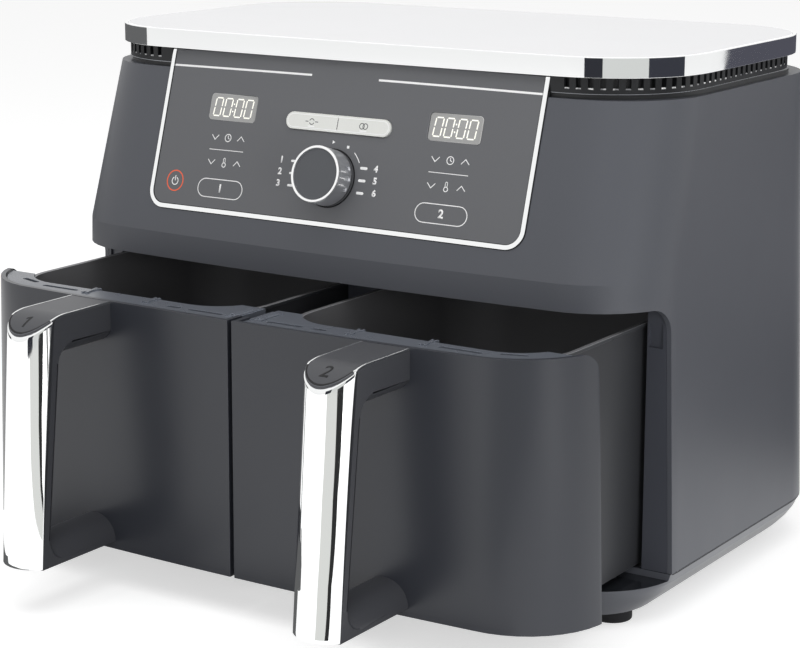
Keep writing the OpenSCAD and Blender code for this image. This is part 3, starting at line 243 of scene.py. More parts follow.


# Moulded plastic: a fine etched grain, slow changes of tone and sheen, and rubbed edges whose lighter colour is
# partly real wear and partly a painted highlight.
tree, enter = node_group("moulded_grain", "ShaderNodeTree", (
    ("Vector", VECTOR, None), ("Colour", COLOUR, None), ("Tone", FLOAT, 0.08), ("Grain", FLOAT, 1400.0),
    ("Roughness", FLOAT, 0.45), ("Spread", FLOAT, 0.08), ("Wear_highlight", FLOAT, 0.0)),
    (("Colour", COLOUR), ("Roughness", FLOAT), ("Height", FLOAT)))
slow = noise(tree, enter["Vector"], 7.0, 2.0)
fine = noise(tree, enter["Vector"], enter["Grain"], 2.0)
sheen = noise(tree, enter["Vector"], 23.0, 3.0)
speck = spread_out(tree, fine, 0.12, spread_out(tree, slow, enter["Tone"], 1.0))
# broken edges get lighter and glossier: partly rubbed wear, partly a painted highlight along them
wear_and_highlight = maths(tree, "MULTIPLY", enter["Wear_highlight"], maths(tree, "MULTIPLY_ADD", sheen, 1.2, -0.1))
speck = maths(tree, "MULTIPLY_ADD", wear_and_highlight, 2.6, speck)
dull = spread_out(tree, sheen, enter["Spread"], enter["Roughness"])
leave(tree, {
    "Colour": tinted(tree, enter["Colour"], speck),
    "Roughness": maths(tree, "MULTIPLY_ADD", wear_and_highlight, -0.3, dull), "Height": fine})
moulded_grain = tree


def linear(code):
    """Linear red, green and blue of a colour written as six hexadecimal digits."""
    parts = [int(code[i:i + 2], 16) / 255 for i in (0, 2, 4)]
    return tuple(p / 12.92 if p <= 0.04045 else ((p + 0.055) / 1.055) ** 2.4 for p in parts) + (1.0,)


def mixed(tree, factor, first, second):
    return add(tree, "ShaderNodeMix", {0: factor, 6: first, 7: second}, data_type="RGBA").outputs[2]


def new_material(name, effect=None, **inputs):
    """A material with the outputs of one shared effect, or with the place on the object alone."""
    material, tree = bare_material(name)
    shader = add(tree, "ShaderNodeBsdfPrincipled")
    add(tree, "ShaderNodeOutputMaterial", {"Surface": shader.outputs["BSDF"]})
    place = add(tree, "ShaderNodeTexCoord").outputs["Object"]
    if not effect:
        return material, tree, shader, place
    group = add(tree, "ShaderNodeGroup", {"Vector": place, **inputs}, node_tree=effect, name="effect")
    for title, socket in (("Colour", "Base Color"), ("Roughness", "Roughness")):
        if title in group.outputs:
            tree.links.new(group.outputs[title], shader.inputs[socket])
    return material, tree, shader, group.outputs.get("Height", place)


def bumped(tree, shader, height, strength, depth):
    bump = add(tree, "ShaderNodeBump", {"Strength": strength, "Distance": depth, "Height": height})
    tree.links.new(bump.outputs["Normal"], shader.inputs["Normal"])


def marked(tree, attribute):
    return add(tree, "ShaderNodeAttribute", attribute_name=attribute).outputs["Fac"]


def plastic(name, code, roughness, grain=1400.0, strength=0.25, tone=0.08, spread=0.08, specular=0.5, coat=0.0,
            rub=1.0, metallic=0.0):
    material, tree, shader, height = new_material(
        name, moulded_grain, Colour=linear(code), Tone=tone, Grain=grain, Roughness=roughness, Spread=spread)
    # broken edges get lighter by this share: rubbed wear and a painted highlight
    edge_wear_highlight_mask = maths(tree, "MULTIPLY", marked(tree, "broken_edges"), rub)
    tree.links.new(edge_wear_highlight_mask, tree.nodes["effect"].inputs["Wear_highlight"])
    shader.inputs["Specular IOR Level"].default_value = specular
    shader.inputs["Metallic"].default_value = metallic
    if coat:
        shader.inputs["Coat Weight"].default_value = coat
        shader.inputs["Coat Roughness"].default_value = 0.12
    bumped(tree, shader, height, strength, 0.00003)
    return material


def two_coats(material, attribute, first, second):
    """Gives the faces that an attribute marks a second colour."""
    tree = material.node_tree
    mark, group = marked(tree, attribute), tree.nodes["effect"]
    tree.links.new(mixed(tree, mark, linear(first), linear(second)), group.inputs["Colour"])
    return tree, mark, group


def mark_faces(mesh, attribute, test):
    mask = mesh.attributes.new(attribute, "FLOAT", "FACE")
    for face in mesh.polygons:
        mask.data[face.index].value = float(test(face))


def put_in_scene(mesh, name, finish, body):
    piece = bpy.data.objects.new(name, mesh)
    bpy.context.scene.collection.objects.link(piece)
    mesh.materials.clear()
    mesh.materials.append(finish)
    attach(piece, body)
    return piece


def slot_of(node):
    return nodes[node].data.materials[0].name.split(".")[0]


def plain_mesh(item, name):
    """A mesh of what an object shows, with its modifiers made plain."""
    bpy.context.view_layer.update()
    graph = bpy.context.evaluated_depsgraph_get()
    mesh = bpy.data.meshes.new_from_object(item.evaluated_get(graph), depsgraph=graph)
    mesh.name = name
    return mesh


def settled(piece):
    mesh = plain_mesh(piece, piece.name)
    piece.modifiers.clear()
    piece.data = mesh
    return mesh


def meshed(shape, name):
    mesh = bpy.data.meshes.new(name)
    shape.to_mesh(mesh)
    shape.free()
    return mesh


def break_edges(piece, edge, turn, segments):
    """Breaks a piece's sharp edges by a radius in mm."""
    bevel = piece.modifiers.new("broken_edge", "BEVEL")
    bevel.width = edge * mm
    bevel.segments = segments
    bevel.limit_method = "ANGLE"
    bevel.angle_limit = math.radians(turn)
    return bevel


def finished(node, name, finish, edge=0.4, smooth=16, segments=2):
    """A moulding in the place of a CAD node: the same form, its sharp edges broken and marked as such."""
    cad = nodes[node]
    shape = bmesh.new()
    shape.from_mesh(cad.data)
    bmesh.ops.remove_doubles(shape, verts=shape.verts, dist=2e-6)
    bmesh.ops.dissolve_limit(shape, angle_limit=math.radians(0.35), verts=shape.verts, edges=shape.edges,
                             use_dissolve_boundaries=False)
    mesh = meshed(shape, name)
    if "custom_normal" in mesh.attributes:
        mesh.attributes.remove(mesh.attributes["custom_normal"])
    mesh.shade_smooth()
    piece = put_in_scene(mesh, name, finish, cad["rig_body"])
    if edge:
        mesh.materials.append(finish)
        break_edges(piece, edge, 28, segments).material = 1
        mesh = settled(piece)
        mark_faces(mesh, "broken_edges", lambda face: face.material_index)
        for face in mesh.polygons:
            face.material_index = 0
        mesh.materials.pop(index=1)
    mesh.set_sharp_from_angle(angle=math.radians(smooth))
    piece.modifiers.new("flat_faces", "WEIGHTED_NORMAL").keep_sharp = True
    settled(piece)
    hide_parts(node)
    return piece


shell_satin = plastic("shell_satin", "46484E", 0.42, grain=1700)
finished("outer_shell", "shell_moulding", shell_satin, edge=1.0, smooth=12, segments=3)

# Base tray and feet -------------------------------------------
# A separate moulding closes the body from below, and its sides curve in under the shell.
# Four rubber feet are pressed in over its screws.
base_satin = plastic("base_satin", "494B51", 0.30, grain=1500)
tray = finished("base_tray", "base_moulding", base_satin, edge=0.5, smooth=12)
# Its upper side, which shows as the sill of the drawer mouths, is darker and polished.
mark_faces(tray.data, "sill", lambda face: face.normal.z > 0.25)
tree, sill, group = two_coats(base_satin, "sill", "494B51", "24262A")
tree.links.new(maths(tree, "MULTIPLY_ADD", sill, -0.16, 0.30), group.inputs["Roughness"])


# A dark gasket bead lies in the seam between the two mouldings, round the sides and back, behind the drawer
# mouths.
def bead_tree():
    """A bar of rectangular section along the edges of its path."""
    tree, enter = node_group("seam_bead", "GeometryNodeTree", (
        ("Path", GEOMETRY, None), ("Width", FLOAT, 0.5), ("Height", FLOAT, 0.5), ("Finish", MATERIAL, None)),
        (("Geometry", GEOMETRY),))
    path = add(tree, "GeometryNodeMeshToCurve", {"Mesh": enter["Path"]})
    upright = add(tree, "GeometryNodeSetCurveNormal", {"Curve": path.outputs["Curve"]}, mode="Z_UP")
    section = add(tree, "GeometryNodeCurvePrimitiveQuadrilateral", {
        "Width": enter["Width"], "Height": enter["Height"]})
    sweep = add(tree, "GeometryNodeCurveToMesh", {
        "Curve": upright.outputs["Curve"], "Profile Curve": section.outputs["Curve"], "Fill Caps": True})
    return leave_dressed(tree, sweep.outputs["Mesh"], enter["Finish"])


def grown(name, tree, points=(), **values):
    """The plain mesh that a tree of Geometry Nodes makes, with points in metres as its path if it has one."""
    line = bpy.data.meshes.new(name + "_path")
    line.from_pydata(points, [(i, i + 1) for i in range(len(points) - 1)], [])
    host = bpy.data.objects.new(name, line)
    bpy.context.scene.collection.objects.link(host)
    maker = host.modifiers.new(name, "NODES")
    maker.node_group = tree
    keys = {item.name: item.identifier for item in tree.interface.items_tree if item.in_out == "INPUT"}
    for title, value in values.items():
        maker[keys[title]] = value
    mesh = plain_mesh(host, name)
    bpy.data.objects.remove(host)
    return mesh


def surface(node):
    return BVHTree.FromPolygons([v.co.copy() for v in nodes[node].data.vertices],
                                [tuple(f.vertices) for f in nodes[node].data.polygons])


def outline_at(node, height, middle_y, step, sink):
    """Points round a node's outside at one height, anticlockwise from the front, sunk into its face."""
    tree, middle = surface(node), Vector((0, middle_y, height))
    found = []
    for turn in range(0, 360 * step):
        angle = math.radians(turn / step - 90)
        way = Vector((math.cos(angle), math.sin(angle), 0))
        hit = tree.ray_cast(middle + way * 0.6, -way)
        if hit[0] and (hit[0] - middle).dot(way) > 0.03:
            found.append(hit[0] - hit[1].normalized() * sink)
    return found


bead = bead_tree()


def lay_bead(name, loop, height, wide, tall, finish, node):
    """A bead round a loop of points, at one height, that rides with a CAD node's body."""
    mesh = grown(name, bead, [Vector((p.x, p.y, height)) for p in loop], Width=wide, Height=tall, Finish=finish)
    put_in_scene(mesh, name, finish, nodes[node]["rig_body"])


above_edge = 0.0012     # height over a moulding's lower edge at which its outline is taken
seam_dark = plastic("seam_dark", "141416", 0.7, grain=900, specular=0.2)
seam_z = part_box("outer_shell")[0][2]
mouth_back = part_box("front_frame")[0][1] + 0.004
seam_loop = [p for p in outline_at("outer_shell", seam_z + above_edge, 0.08, 2, 0.00032) if p.y > mouth_back]
lay_bead("base_seam", seam_loop, seam_z - 0.00005, 0.0007, 0.0011, seam_dark, "base_tray")
foot_rubber = plastic("foot_rubber", "1D1D1F", 0.75, grain=900, strength=0.4, tone=0.2, specular=0.25)
finished("rubber_feet", "feet_moulded", foot_rubber, edge=0.8, segments=3)

# Drawer mouths ------------------------------------------------
# The dark inner wall round both mouths, the coated steel boxes behind it, the rib between
# them and the strips that the drawers run on.
frame_dark = plastic("frame_dark", "3C3E45", 0.38, grain=1500)
finished("front_frame", "mouth_frame", frame_dark, edge=0.4)
guide_dark = plastic("guide_dark", "222326", 0.38, grain=1100)
finished("drawer_guides", "drawer_runners", guide_dark, edge=0.5)

# Drawn steel: fine lines along one way, and blotches that only change the sheen.
tree, enter = node_group("brushed_steel", "ShaderNodeTree", (
    ("Vector", VECTOR, None), ("Colour", COLOUR, None), ("Roughness", FLOAT, 0.35), ("Tone", FLOAT, 0.15)),
    (("Colour", COLOUR), ("Roughness", FLOAT), ("Height", FLOAT)))
stretch = add(tree, "ShaderNodeMapping", {"Vector": enter["Vector"], "Scale": (6, 900, 900)})
lines = noise(tree, stretch.outputs["Vector"], 1.0, 3.0)
blotch = noise(tree, enter["Vector"], 14.0, 4.0)
dull = spread_out(tree, blotch, 0.2, spread_out(tree, lines, 0.18, enter["Roughness"]))
streak = spread_out(tree, lines, enter["Tone"], 1.0)
leave(tree, {
    "Colour": tinted(tree, enter["Colour"], streak), "Roughness": dull, "Height": lines})
brushed_steel = tree


def metal(name, code, roughness, tone=0.15, metallic=1.0):
    material, tree, shader, height = new_material(
        name, brushed_steel, Colour=linear(code), Roughness=roughness, Tone=tone)
    shader.inputs["Metallic"].default_value = metallic
    bumped(tree, shader, height, 0.15, 0.00002)
    return material


liner_grey = metal("liner_grey", "808082", 0.42, tone=0.2, metallic=0.3)
for side, sign in SIDES:
    finished("chamber_liner_" + side, "chamber_box_" + side, liner_grey, edge=0.4)
rib_grey = metal("rib_grey", "4A4B4E", 0.45, tone=0.2, metallic=0.6)
finished("centre_rib", "rib_plate", rib_grey, edge=0.4)

# Rear cover ---------------------------------------------------
# Louvred plate over the exhaust, held by four screws, with the rubber bush of the lead.
rear_satin = plastic("rear_satin", "3F4144", 0.5, grain=1300)
finished("rear_cover", "exhaust_louvres", rear_satin, edge=0.35)
gland_rubber = plastic("gland_rubber", "1B1B1D", 0.7, grain=900, strength=0.4, specular=0.25)
finished("cord_gland", "lead_bush", gland_rubber, edge=0.5)

# Lid and vent band --------------------------------------------
# Pale top plate in a bright plated rim. Under it a dark comb band lets air into the body.
lid_white = plastic("lid_white", "E4E4E6", 0.3, grain=2200, strength=0.08, tone=0.02, spread=0.05, coat=0.25)
finished("lid_top", "top_plate", lid_white, edge=0.5, smooth=14)
lid_low, lid_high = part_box("lid_top")
lid_loop = outline_at("lid_top", lid_high[2] - 0.0008, (lid_low[1] + lid_high[1]) / 2, 1, 0.0)
lid_joint = plastic("lid_joint", "6E6F72", 0.5, grain=1500)
lay_bead("lid_gasket", lid_loop + lid_loop[:1], lid_high[2] - 0.0004, 0.0007, 0.0005, lid_joint, "lid_top")
deck_dark = plastic("deck_dark", "1B1C1E", 0.45, grain=1300)
finished("top_deck", "deck_moulding", deck_dark, edge=0.35)
vent_dark = plastic("vent_dark", "1A1B1D", 0.34, grain=1300, tone=0.15, specular=0.3)
finished("vent_ring", "vent_comb", vent_dark, edge=0, smooth=20)

# Polish: nearly mirror-bright, with faint wipe marks that only change the sheen.
polish_marks, enter = node_group("polish_marks", "ShaderNodeTree", (
    ("Vector", VECTOR, None), ("Roughness", FLOAT, 0.05), ("Marks", FLOAT, 0.06)), (("Roughness", FLOAT),))
wiped = add(polish_marks, "ShaderNodeMapRange", {
    "Value": noise(polish_marks, enter["Vector"], 26.0, 4.0, 1.4), "From Min": 0.5, "From Max": 0.78})
leave(polish_marks, {"Roughness": maths(
    polish_marks, "MULTIPLY_ADD", wiped.outputs["Result"], enter["Marks"], enter["Roughness"])})


def polished(name, code, roughness=0.04, marks=0.05):
    material, tree, shader, place = new_material(name, polish_marks, Roughness=roughness, Marks=marks)
    dimmer = [0.97 * c for c in linear(code)[:3]] + [1.0]
    tone = mixed(tree, noise(tree, place, 12.0, 3.0), linear(code), dimmer)
    tree.links.new(tone, shader.inputs["Base Color"])
    shader.inputs["Metallic"].default_value = 1.0
    return material


bright_plating = polished("bright_plating", "F7F8F8", 0.03, 0.04)
# A pale shelf shows at the foot of the comb's slots, with near-white patches painted on it as glints, and a
# thin bright line edges the comb below.
strip_bright, tree, shader, place = new_material("strip_bright")
dents = noise(tree, place, 170.0, 2.0, 0.6)
painted_glints = mixed(tree, maths(tree, "MULTIPLY_ADD", dents, 4.0, -1.6), linear("77787B"), linear("FCFCFC"))
tree.links.new(painted_glints, shader.inputs["Base Color"])
tree.links.new(maths(tree, "MULTIPLY_ADD", dents, 0.25, 0.08), shader.inputs["Roughness"])
bumped(tree, shader, dents, 0.5, 0.0006)
edge_grey = metal("edge_grey", "8A8C90", 0.3)
vent_low, vent_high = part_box("vent_ring")
vent_middle = (vent_low[1] + vent_high[1]) / 2
for name, height, sink, wide, tall, finish in (
        ("vent_strip", 0.0029, 0.0019, 0.0030, 0.0008, strip_bright),
        ("vent_edge", 0.0, -0.0001, 0.0004, 0.0005, edge_grey)):
    loop = outline_at("vent_ring", vent_low[2] + above_edge, vent_middle, 1, sink)
    lay_bead(name, loop, vent_low[2] + height, wide, tall, finish, "vent_ring")
finished("lid_rim", "plated_rim", bright_plating, edge=0.25, smooth=25)

# Control panel ------------------------------------------------
# Flat grey panel let into the slope inside a bright U-shaped trim.
panel_satin = plastic("panel_satin", "595A5D", 0.5, grain=1900, strength=0.15, tone=0.05)
finished("control_fascia", "panel_plate", panel_satin, edge=0.2)
finished("panel_trim", "plated_trim", bright_plating, edge=0.3, smooth=25)

turning = [j for j in frame["joints"] if j.get("child") == "dial"][0]
panel_out = Vector(turning["axis"]).normalized()
panel_along = Vector((1, 0, 0))
panel_up = panel_out.cross(panel_along)
dial_mid = Vector(turning["pos_m"])
dial_up = 46.0     # height of the dial's middle up the panel's slope
fascia_tree = surface("control_fascia")


def panel_depth(x, u):
    """How far the panel's face lies out along its normal, from the dial's pivot, in mm."""
    start = dial_mid + panel_along * x * mm + panel_up * (u - dial_up) * mm + panel_out * 0.1
    return (0.1 - fascia_tree.ray_cast(start, -panel_out)[3]) / mm


flat_mid = panel_depth(0, 30)
bow = (flat_mid - panel_depth(120, 30)) / 120 ** 2


def on_panel(x, u, h=0.0):
    """Point in metres, from mm across the panel, up its slope and out from its face."""
    out = flat_mid - bow * x * x + h
    return dial_mid + (panel_along * x + panel_up * (u - dial_up) + panel_out * out) * mm


longest_step = 6.0     # mm between the points of a drawn line, which has to follow the bow


def steps(start, end):
    count = max(1, round(abs(end - start) / longest_step))
    return [start + (end - start) * i / count for i in range(count + 1)]


def ring(x, u, r, count=40, start=0.0, turn=2 * math.pi):
    n = count if turn == 2 * math.pi else count + 1
    return [(x + r * math.cos(start + turn * i / count), u + r * math.sin(start + turn * i / count))
            for i in range(n)]


def pill(x, u, w, h):
    """Outline of a round-ended bar, in panel mm."""
    r, arc_steps = h / 2, 10
    x0, x1 = x - w / 2 + r, x + w / 2 - r
    right = ring(x1, u, r, arc_steps, -math.pi / 2, math.pi)
    left = ring(x0, u, r, arc_steps, math.pi / 2, math.pi)
    return right + [(v, u + r) for v in steps(x1, x0)[1:-1]] + left + [(v, u - r) for v in steps(x0, x1)[1:-1]]


def patch(shape, points):
    shape.faces.new([shape.verts.new((x, y, 0)) for x, y in points])


def line_shape(shape, points, width, closed=False, caps=True):
    """Adds a flat drawn line of even width to a bmesh, in panel mm."""
    rows = []
    count = len(points)
    for i, p in enumerate(points):
        before = points[i - 1] if (i > 0 or closed) else p
        after = points[(i + 1) % count] if (i < count - 1 or closed) else p
        a = Vector((p[0] - before[0], p[1] - before[1]))
        b = Vector((after[0] - p[0], after[1] - p[1]))
        a = a.normalized() if a.length > 1e-9 else b.normalized()
        b = b.normalized() if b.length > 1e-9 else a
        mean = (a + b).normalized()
        side = Vector((-mean.y, mean.x)) * (width / 2 / max(0.35, mean.dot(a)))
        rows.append([shape.verts.new((p[0] + way * side.x, p[1] + way * side.y, 0)) for way in (1, -1)])
    for (a, b), (c, d) in list(zip(rows, rows[1:])) + ([(rows[-1], rows[0])] if closed else []):
        shape.faces.new((a, b, d, c))
    if caps and not closed:
        for i, j in ((0, 1), (-1, -2)):
            tip, inner = Vector(points[i]), Vector(points[j])
            way = (tip - inner).normalized()
            patch(shape, ring(*tip, width / 2, 6, math.atan2(way.y, way.x) - math.pi / 2, math.pi))


def thicken(shape, thick):
    """Makes flat marks in a bmesh a layer of a thickness in mm."""
    top = bmesh.ops.extrude_face_region(shape, geom=shape.faces[:])
    for item in top["geom"]:
        if isinstance(item, bmesh.types.BMVert):
            item.co.z += thick
    bmesh.ops.recalc_face_normals(shape, faces=shape.faces)


ink_thick, ink_sink = 0.06, 0.03     # mm: the ink's layer, and how deep it bites


def printed(name, shape, finish, body="housing", level=None):
    """Makes flat marks in a bmesh a thin layer of ink on the bowed panel, or on a flat piece at one level."""
    bmesh.ops.remove_doubles(shape, verts=shape.verts, dist=1e-5)
    bmesh.ops.recalc_face_normals(shape, faces=shape.faces)
    for face in shape.faces:
        face.normal_update()
        if face.normal.z < 0:
            face.normal_flip()
    thicken(shape, ink_thick)
    for v in shape.verts:
        over = 0 if level is None else level + bow * v.co.x ** 2
        v.co = on_panel(v.co.x, v.co.y, over + v.co.z - ink_sink)
    return put_in_scene(meshed(shape, name), name, finish, body)


white_ink = plastic("white_ink", "E9E9E9", 0.5, grain=2500, strength=0.05, tone=0.03)

# Rules, buttons' outlines, arrows and pictures: thin white ink.
rule_u, arrows_u, divide_u, clock_u, bulb_u = 107.3, (64.0, 48.4), 56.2, 64.0, 47.0
marks = bmesh.new()
for x0, x1 in ((-134, -25.5), (23.5, 137)):
    line_shape(marks, [(x, rule_u) for x in steps(x0, x1)], 1.25, caps=False)
for x, u in ((-81.4, 32.0), (81.0, 32.2)):
    line_shape(marks, pill(x, u, 35.2, 11.4), 0.52, closed=True)
for x in (-81.5, 81.5):
    for u in arrows_u:
        for way in (-1, 1):
            line_shape(marks, [(x + way * 10.2 + run, u + way * rise) for run, rise in (
                (-2.6, -1.3), (0, 1.5), (2.6, -1.3))], 0.48)
    line_shape(marks, [(v, divide_u) for v in steps(x - 13.4, x + 13.4)], 0.4, caps=False)
    # clock: a dial with two hands
    line_shape(marks, ring(x, clock_u, 2.3, 28), 0.5, closed=True)
    line_shape(marks, [(x, clock_u + 1.4), (x, clock_u), (x + 1.1, clock_u - 0.6)], 0.44)
    # thermometer: a stem over a round bulb
    for way in (-0.7, 0.7):
        line_shape(marks, [(x + way, bulb_u + 1.2), (x + way, bulb_u + 3.6)], 0.4)
    line_shape(marks, ring(x, bulb_u + 3.6, 0.7, 8, 0, math.pi), 0.4)
    line_shape(marks, ring(x, bulb_u, 1.35, 20), 0.5, closed=True)
# over the dial, a start triangle and a stop square, each with a short arc beside it
arc_r, sign_r = 22.3, 21.9
for start in (30, 124):
    line_shape(marks, ring(0, dial_up, arc_r, 10, math.radians(start), math.radians(18)), 0.5)
for spot, corners, size, turn in ((math.radians(94), 3, 1.25, 0), (math.radians(64), 4, 1.2, math.pi / 4)):
    patch(marks, ring(sign_r * math.cos(spot), dial_up + sign_r * math.sin(spot), size, corners, turn))
printed("panel_marks", marks, white_ink)

# Narrow dark lines run along both sides of the trim, and round the foot of the dial: the dark of the gaps
# there, and painted shadow along them.
trim_points = [v.co - dial_mid for v in nodes["panel_trim"].data.vertices]
trim_half = max(p.dot(panel_along) for p in trim_points) / mm
trim_foot, trim_head = [pick(p.dot(panel_up) for p in trim_points) / mm + dial_up for pick in (min, max)]
trim_corner = 12.0
gap_shadows = bmesh.new()
for past in (0.2, -3.0):
    right = [(trim_half + past, v) for v in steps(trim_head - 1.5, trim_foot + trim_corner)[:-1]]
    right += ring(trim_half - trim_corner, trim_foot + trim_corner, trim_corner + past, 12, 0, -math.pi / 2)
    level = [(v, trim_foot - past) for v in steps(trim_half - trim_corner, trim_corner - trim_half)[1:-1]]
    line_shape(gap_shadows, right + level + [(-x, v) for x, v in reversed(right)], 0.42, caps=False)
line_shape(gap_shadows, ring(0, dial_up, 17.6, 48), 0.9, closed=True)
printed("trim_gap_shadows", gap_shadows, seam_dark)

# Power button: an orange ring round the usual sign.
orange_ink = plastic("orange_ink", "E8603C", 0.45, grain=2500, strength=0.05, tone=0.04)
power_x = -118.3
power = bmesh.new()
line_shape(power, ring(power_x, 34.2, 6.4, 48), 0.75, closed=True)
printed("power_ring", power, orange_ink)
sign = bmesh.new()
line_shape(sign, ring(power_x, 34.0, 2.4, 26, math.radians(122), math.radians(296)), 0.6)
line_shape(sign, [(power_x, 34.4), (power_x, 37.3)], 0.6)
printed("power_sign", sign, white_ink)


def numeral(name, text, height, weight, resolution):
    """A bmesh of a numeral, flat and about its own middle, from the plain built-in typeface."""
    curve = bpy.data.curves.new(name, "FONT")
    curve.body = text
    curve.align_x = "CENTER"
    curve.align_y = "CENTER"
    curve.size = height / 0.72     # the typeface's figures are 0.72 of its size high
    curve.resolution_u = resolution
    curve.offset = weight
    carrier = bpy.data.objects.new(name, curve)
    bpy.context.scene.collection.objects.link(carrier)
    shape = bmesh.new()
    shape.from_mesh(plain_mesh(carrier, name + "_flat"))
    bpy.data.objects.remove(carrier)
    return shape


for name, places, height, weight in (
        ("zone_number_", ((-81.4, 32.0), (81.0, 32.2)), 5.0, 0.05),
        ("programme_", ((-37.5, 54.1), (-37.5, 46.9), (-37.5, 39.6), (31.8, 54.1), (32.4, 46.9), (33.0, 39.6)),
         4.0, 0.06)):
    for count, (x, u) in enumerate(places, 1):
        shape = numeral(name + str(count), str(count), height, weight * height, 5)
        for v in shape.verts:
            v.co = Vector((v.co.x + x, v.co.y + u, 0))
        printed(name + str(count), shape, white_ink)


# Tick marks beside the dial: round-ended bars repeated down each side.
def bars_tree():
    tree, enter = node_group("tick_bars", "GeometryNodeTree", (
        ("Count", WHOLE, 3), ("Length", FLOAT, 4.0), ("Width", FLOAT, 1.0), ("Pitch", FLOAT, 7.0),
        ("Thickness", FLOAT, 0.1), ("Finish", MATERIAL, None)), (("Geometry", GEOMETRY),))
    offset = add(tree, "ShaderNodeCombineXYZ", {"Y": maths(tree, "MULTIPLY", enter["Pitch"], -1.0)})
    column = add(tree, "GeometryNodeMeshLine", {"Count": enter["Count"], "Offset": offset.outputs[0]})
    half = maths(tree, "MULTIPLY", enter["Width"], 0.5)
    end = add(tree, "ShaderNodeCombineXYZ", {"X": enter["Length"]}).outputs[0]
    spine = add(tree, "GeometryNodeCurvePrimitiveLine", {"End": end})
    circle = add(tree, "GeometryNodeCurvePrimitiveCircle", {"Resolution": 12, "Radius": half})
    tube = add(tree, "GeometryNodeCurveToMesh", {
        "Curve": spine.outputs["Curve"], "Profile Curve": circle.outputs["Curve"], "Fill Caps": True})
    ball = add(tree, "GeometryNodeMeshUVSphere", {"Segments": 12, "Rings": 8, "Radius": half})
    tips = add(tree, "GeometryNodeMeshLine", {"Count": 2, "Offset": end}, mode="END_POINTS")
    ends = add(tree, "GeometryNodeInstanceOnPoints", {
        "Points": tips.outputs["Mesh"], "Instance": ball.outputs["Mesh"]})
    bar = add(tree, "GeometryNodeJoinGeometry", {"Geometry": tube.outputs["Mesh"]})
    tree.links.new(ends.outputs["Instances"], bar.inputs["Geometry"])
    flat = add(tree, "ShaderNodeCombineXYZ", {
        "X": 1, "Y": 1, "Z": maths(tree, "DIVIDE", enter["Thickness"], enter["Width"])})
    squash = add(tree, "GeometryNodeTransform", {"Geometry": bar.outputs["Geometry"], "Scale": flat.outputs[0]})
    place = add(tree, "GeometryNodeInstanceOnPoints", {
        "Points": column.outputs["Mesh"], "Instance": squash.outputs["Geometry"]})
    return leave_dressed(tree, place.outputs["Instances"], enter["Finish"])


tick_tree, top_tick_u = bars_tree(), 54.0
for name, x, length, width in (("ticks_left", -29.6, 2.8, 1.5), ("ticks_right", 21.4, 3.6, 1.7)):
    mesh = grown(name, tick_tree, Count=3, Length=length, Width=width, Pitch=7.5, Thickness=0.16,
                 Finish=white_ink)
    for v in mesh.vertices:
        v.co = on_panel(v.co.x + x, v.co.y + top_tick_u, v.co.z)
    put_in_scene(mesh, name, white_ink, "housing")

# Displays -----------------------------------------------------
# Clear-fronted grey windows with seven-bar figures behind their face.
window_grey = plastic("window_grey", "949493", 0.22, grain=2500, strength=0.03, tone=0.04, coat=0.5)
for side, sign in SIDES:
    finished("display_window_" + side, "window_pane_" + side, window_grey, edge=0.15)
lit_bar, tree, shader, place = new_material("lit_bar")
glow_tone = mixed(tree, noise(tree, place, 900.0, 2.0), linear("F6F5EF"), linear("E2E0D2"))
tree.links.new(glow_tone, shader.inputs["Base Color"])
tree.links.new(glow_tone, shader.inputs["Emission Color"])
shader.inputs["Emission Strength"].default_value = 0.35
shader.inputs["Roughness"].default_value = 0.4
figure_u, figure_tall, figure_wide, figure_lean, pane_sink = 83.0, 11.2, 5.2, 0.1, -0.2
# a nought lights every bar but the middle one: its two level bars, then the upright ones
lit_bars = [((0.14, up), (0.86, up)) for up in (0, 1)]
lit_bars += [((out, low), (out, low + 0.36)) for out in (0, 1) for low in (0.07, 0.57)]
for side, sign in SIDES:
    figures = bmesh.new()
    mid_x = sign * 81.3
    for start in (-14.4, -6.9, 1.7, 9.2):
        for bar in lit_bars:
            line_shape(figures, [
                (mid_x + start + out * figure_wide + (up - 0.5) * figure_tall * figure_lean,
                 figure_u + (up - 0.5) * figure_tall) for out, up in bar], 0.84)
    for rise in (-2.3, 2.3):
        patch(figures, ring(mid_x + rise * figure_lean, figure_u + rise, 0.55, 12))
    printed("figures_" + side, figures, lit_bar, level=pane_sink - bow * mid_x ** 2)

# Mode key -----------------------------------------------------
# Cream rocker with a divider at its middle. Each half has a printed picture.
key_cream = plastic("key_cream", "D6D7D3", 0.4, grain=2000, strength=0.1, tone=0.03)
finished("mode_key", "rocker_key", key_cream, edge=0.5, segments=3)
key_low, key_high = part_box("mode_key")
key_ink = plastic("key_ink", "4A4B4D", 0.5, grain=2500, strength=0.05)
key_u, key_stand, picture_x = 78.8, 1.2, 19
key_wide, key_tall = (key_high[0] - key_low[0]) / mm, 10.4
border = bmesh.new()
line_shape(border, pill(0, key_u, key_wide - 2.4, key_tall - 2.4), 0.4, closed=True)
for x in (-picture_x, picture_x):
    line_shape(border, [(x - 2.2, key_u - 2.9), (x + 2.2, key_u - 2.9)], 0.7)
printed("key_border", border, white_ink, body="mode_rocker", level=key_stand)
pictures = bmesh.new()
line_shape(pictures, [(0, 75.6), (0, 82.0)], 0.5, caps=False)
for turn in (0, math.pi):
    line_shape(pictures, ring(-picture_x, key_u, 1.7, 14, turn + 0.5, 2.2), 0.5)
for shift in (-3.6, 3.6):
    line_shape(pictures, [(shift - picture_x - 0.9, key_u), (shift - picture_x + 0.9, key_u)], 0.5)
for shift in (-1.2, 1.2):
    line_shape(pictures, ring(picture_x + shift, key_u, 1.7, 24), 0.5, closed=True)
printed("key_pictures", pictures, key_ink, body="mode_rocker", level=key_stand)


# Dial ---------------------------------------------------------
# Dark pressed-in face in a satin skirt with a bright turned rim.
def on_dial(r, angle, h):
    """Point in metres, from mm off the dial's axis and out from the panel."""
    return dial_mid + (panel_along * r * math.cos(angle) + panel_up * r * math.sin(angle)
                       + panel_out * (flat_mid + h)) * mm


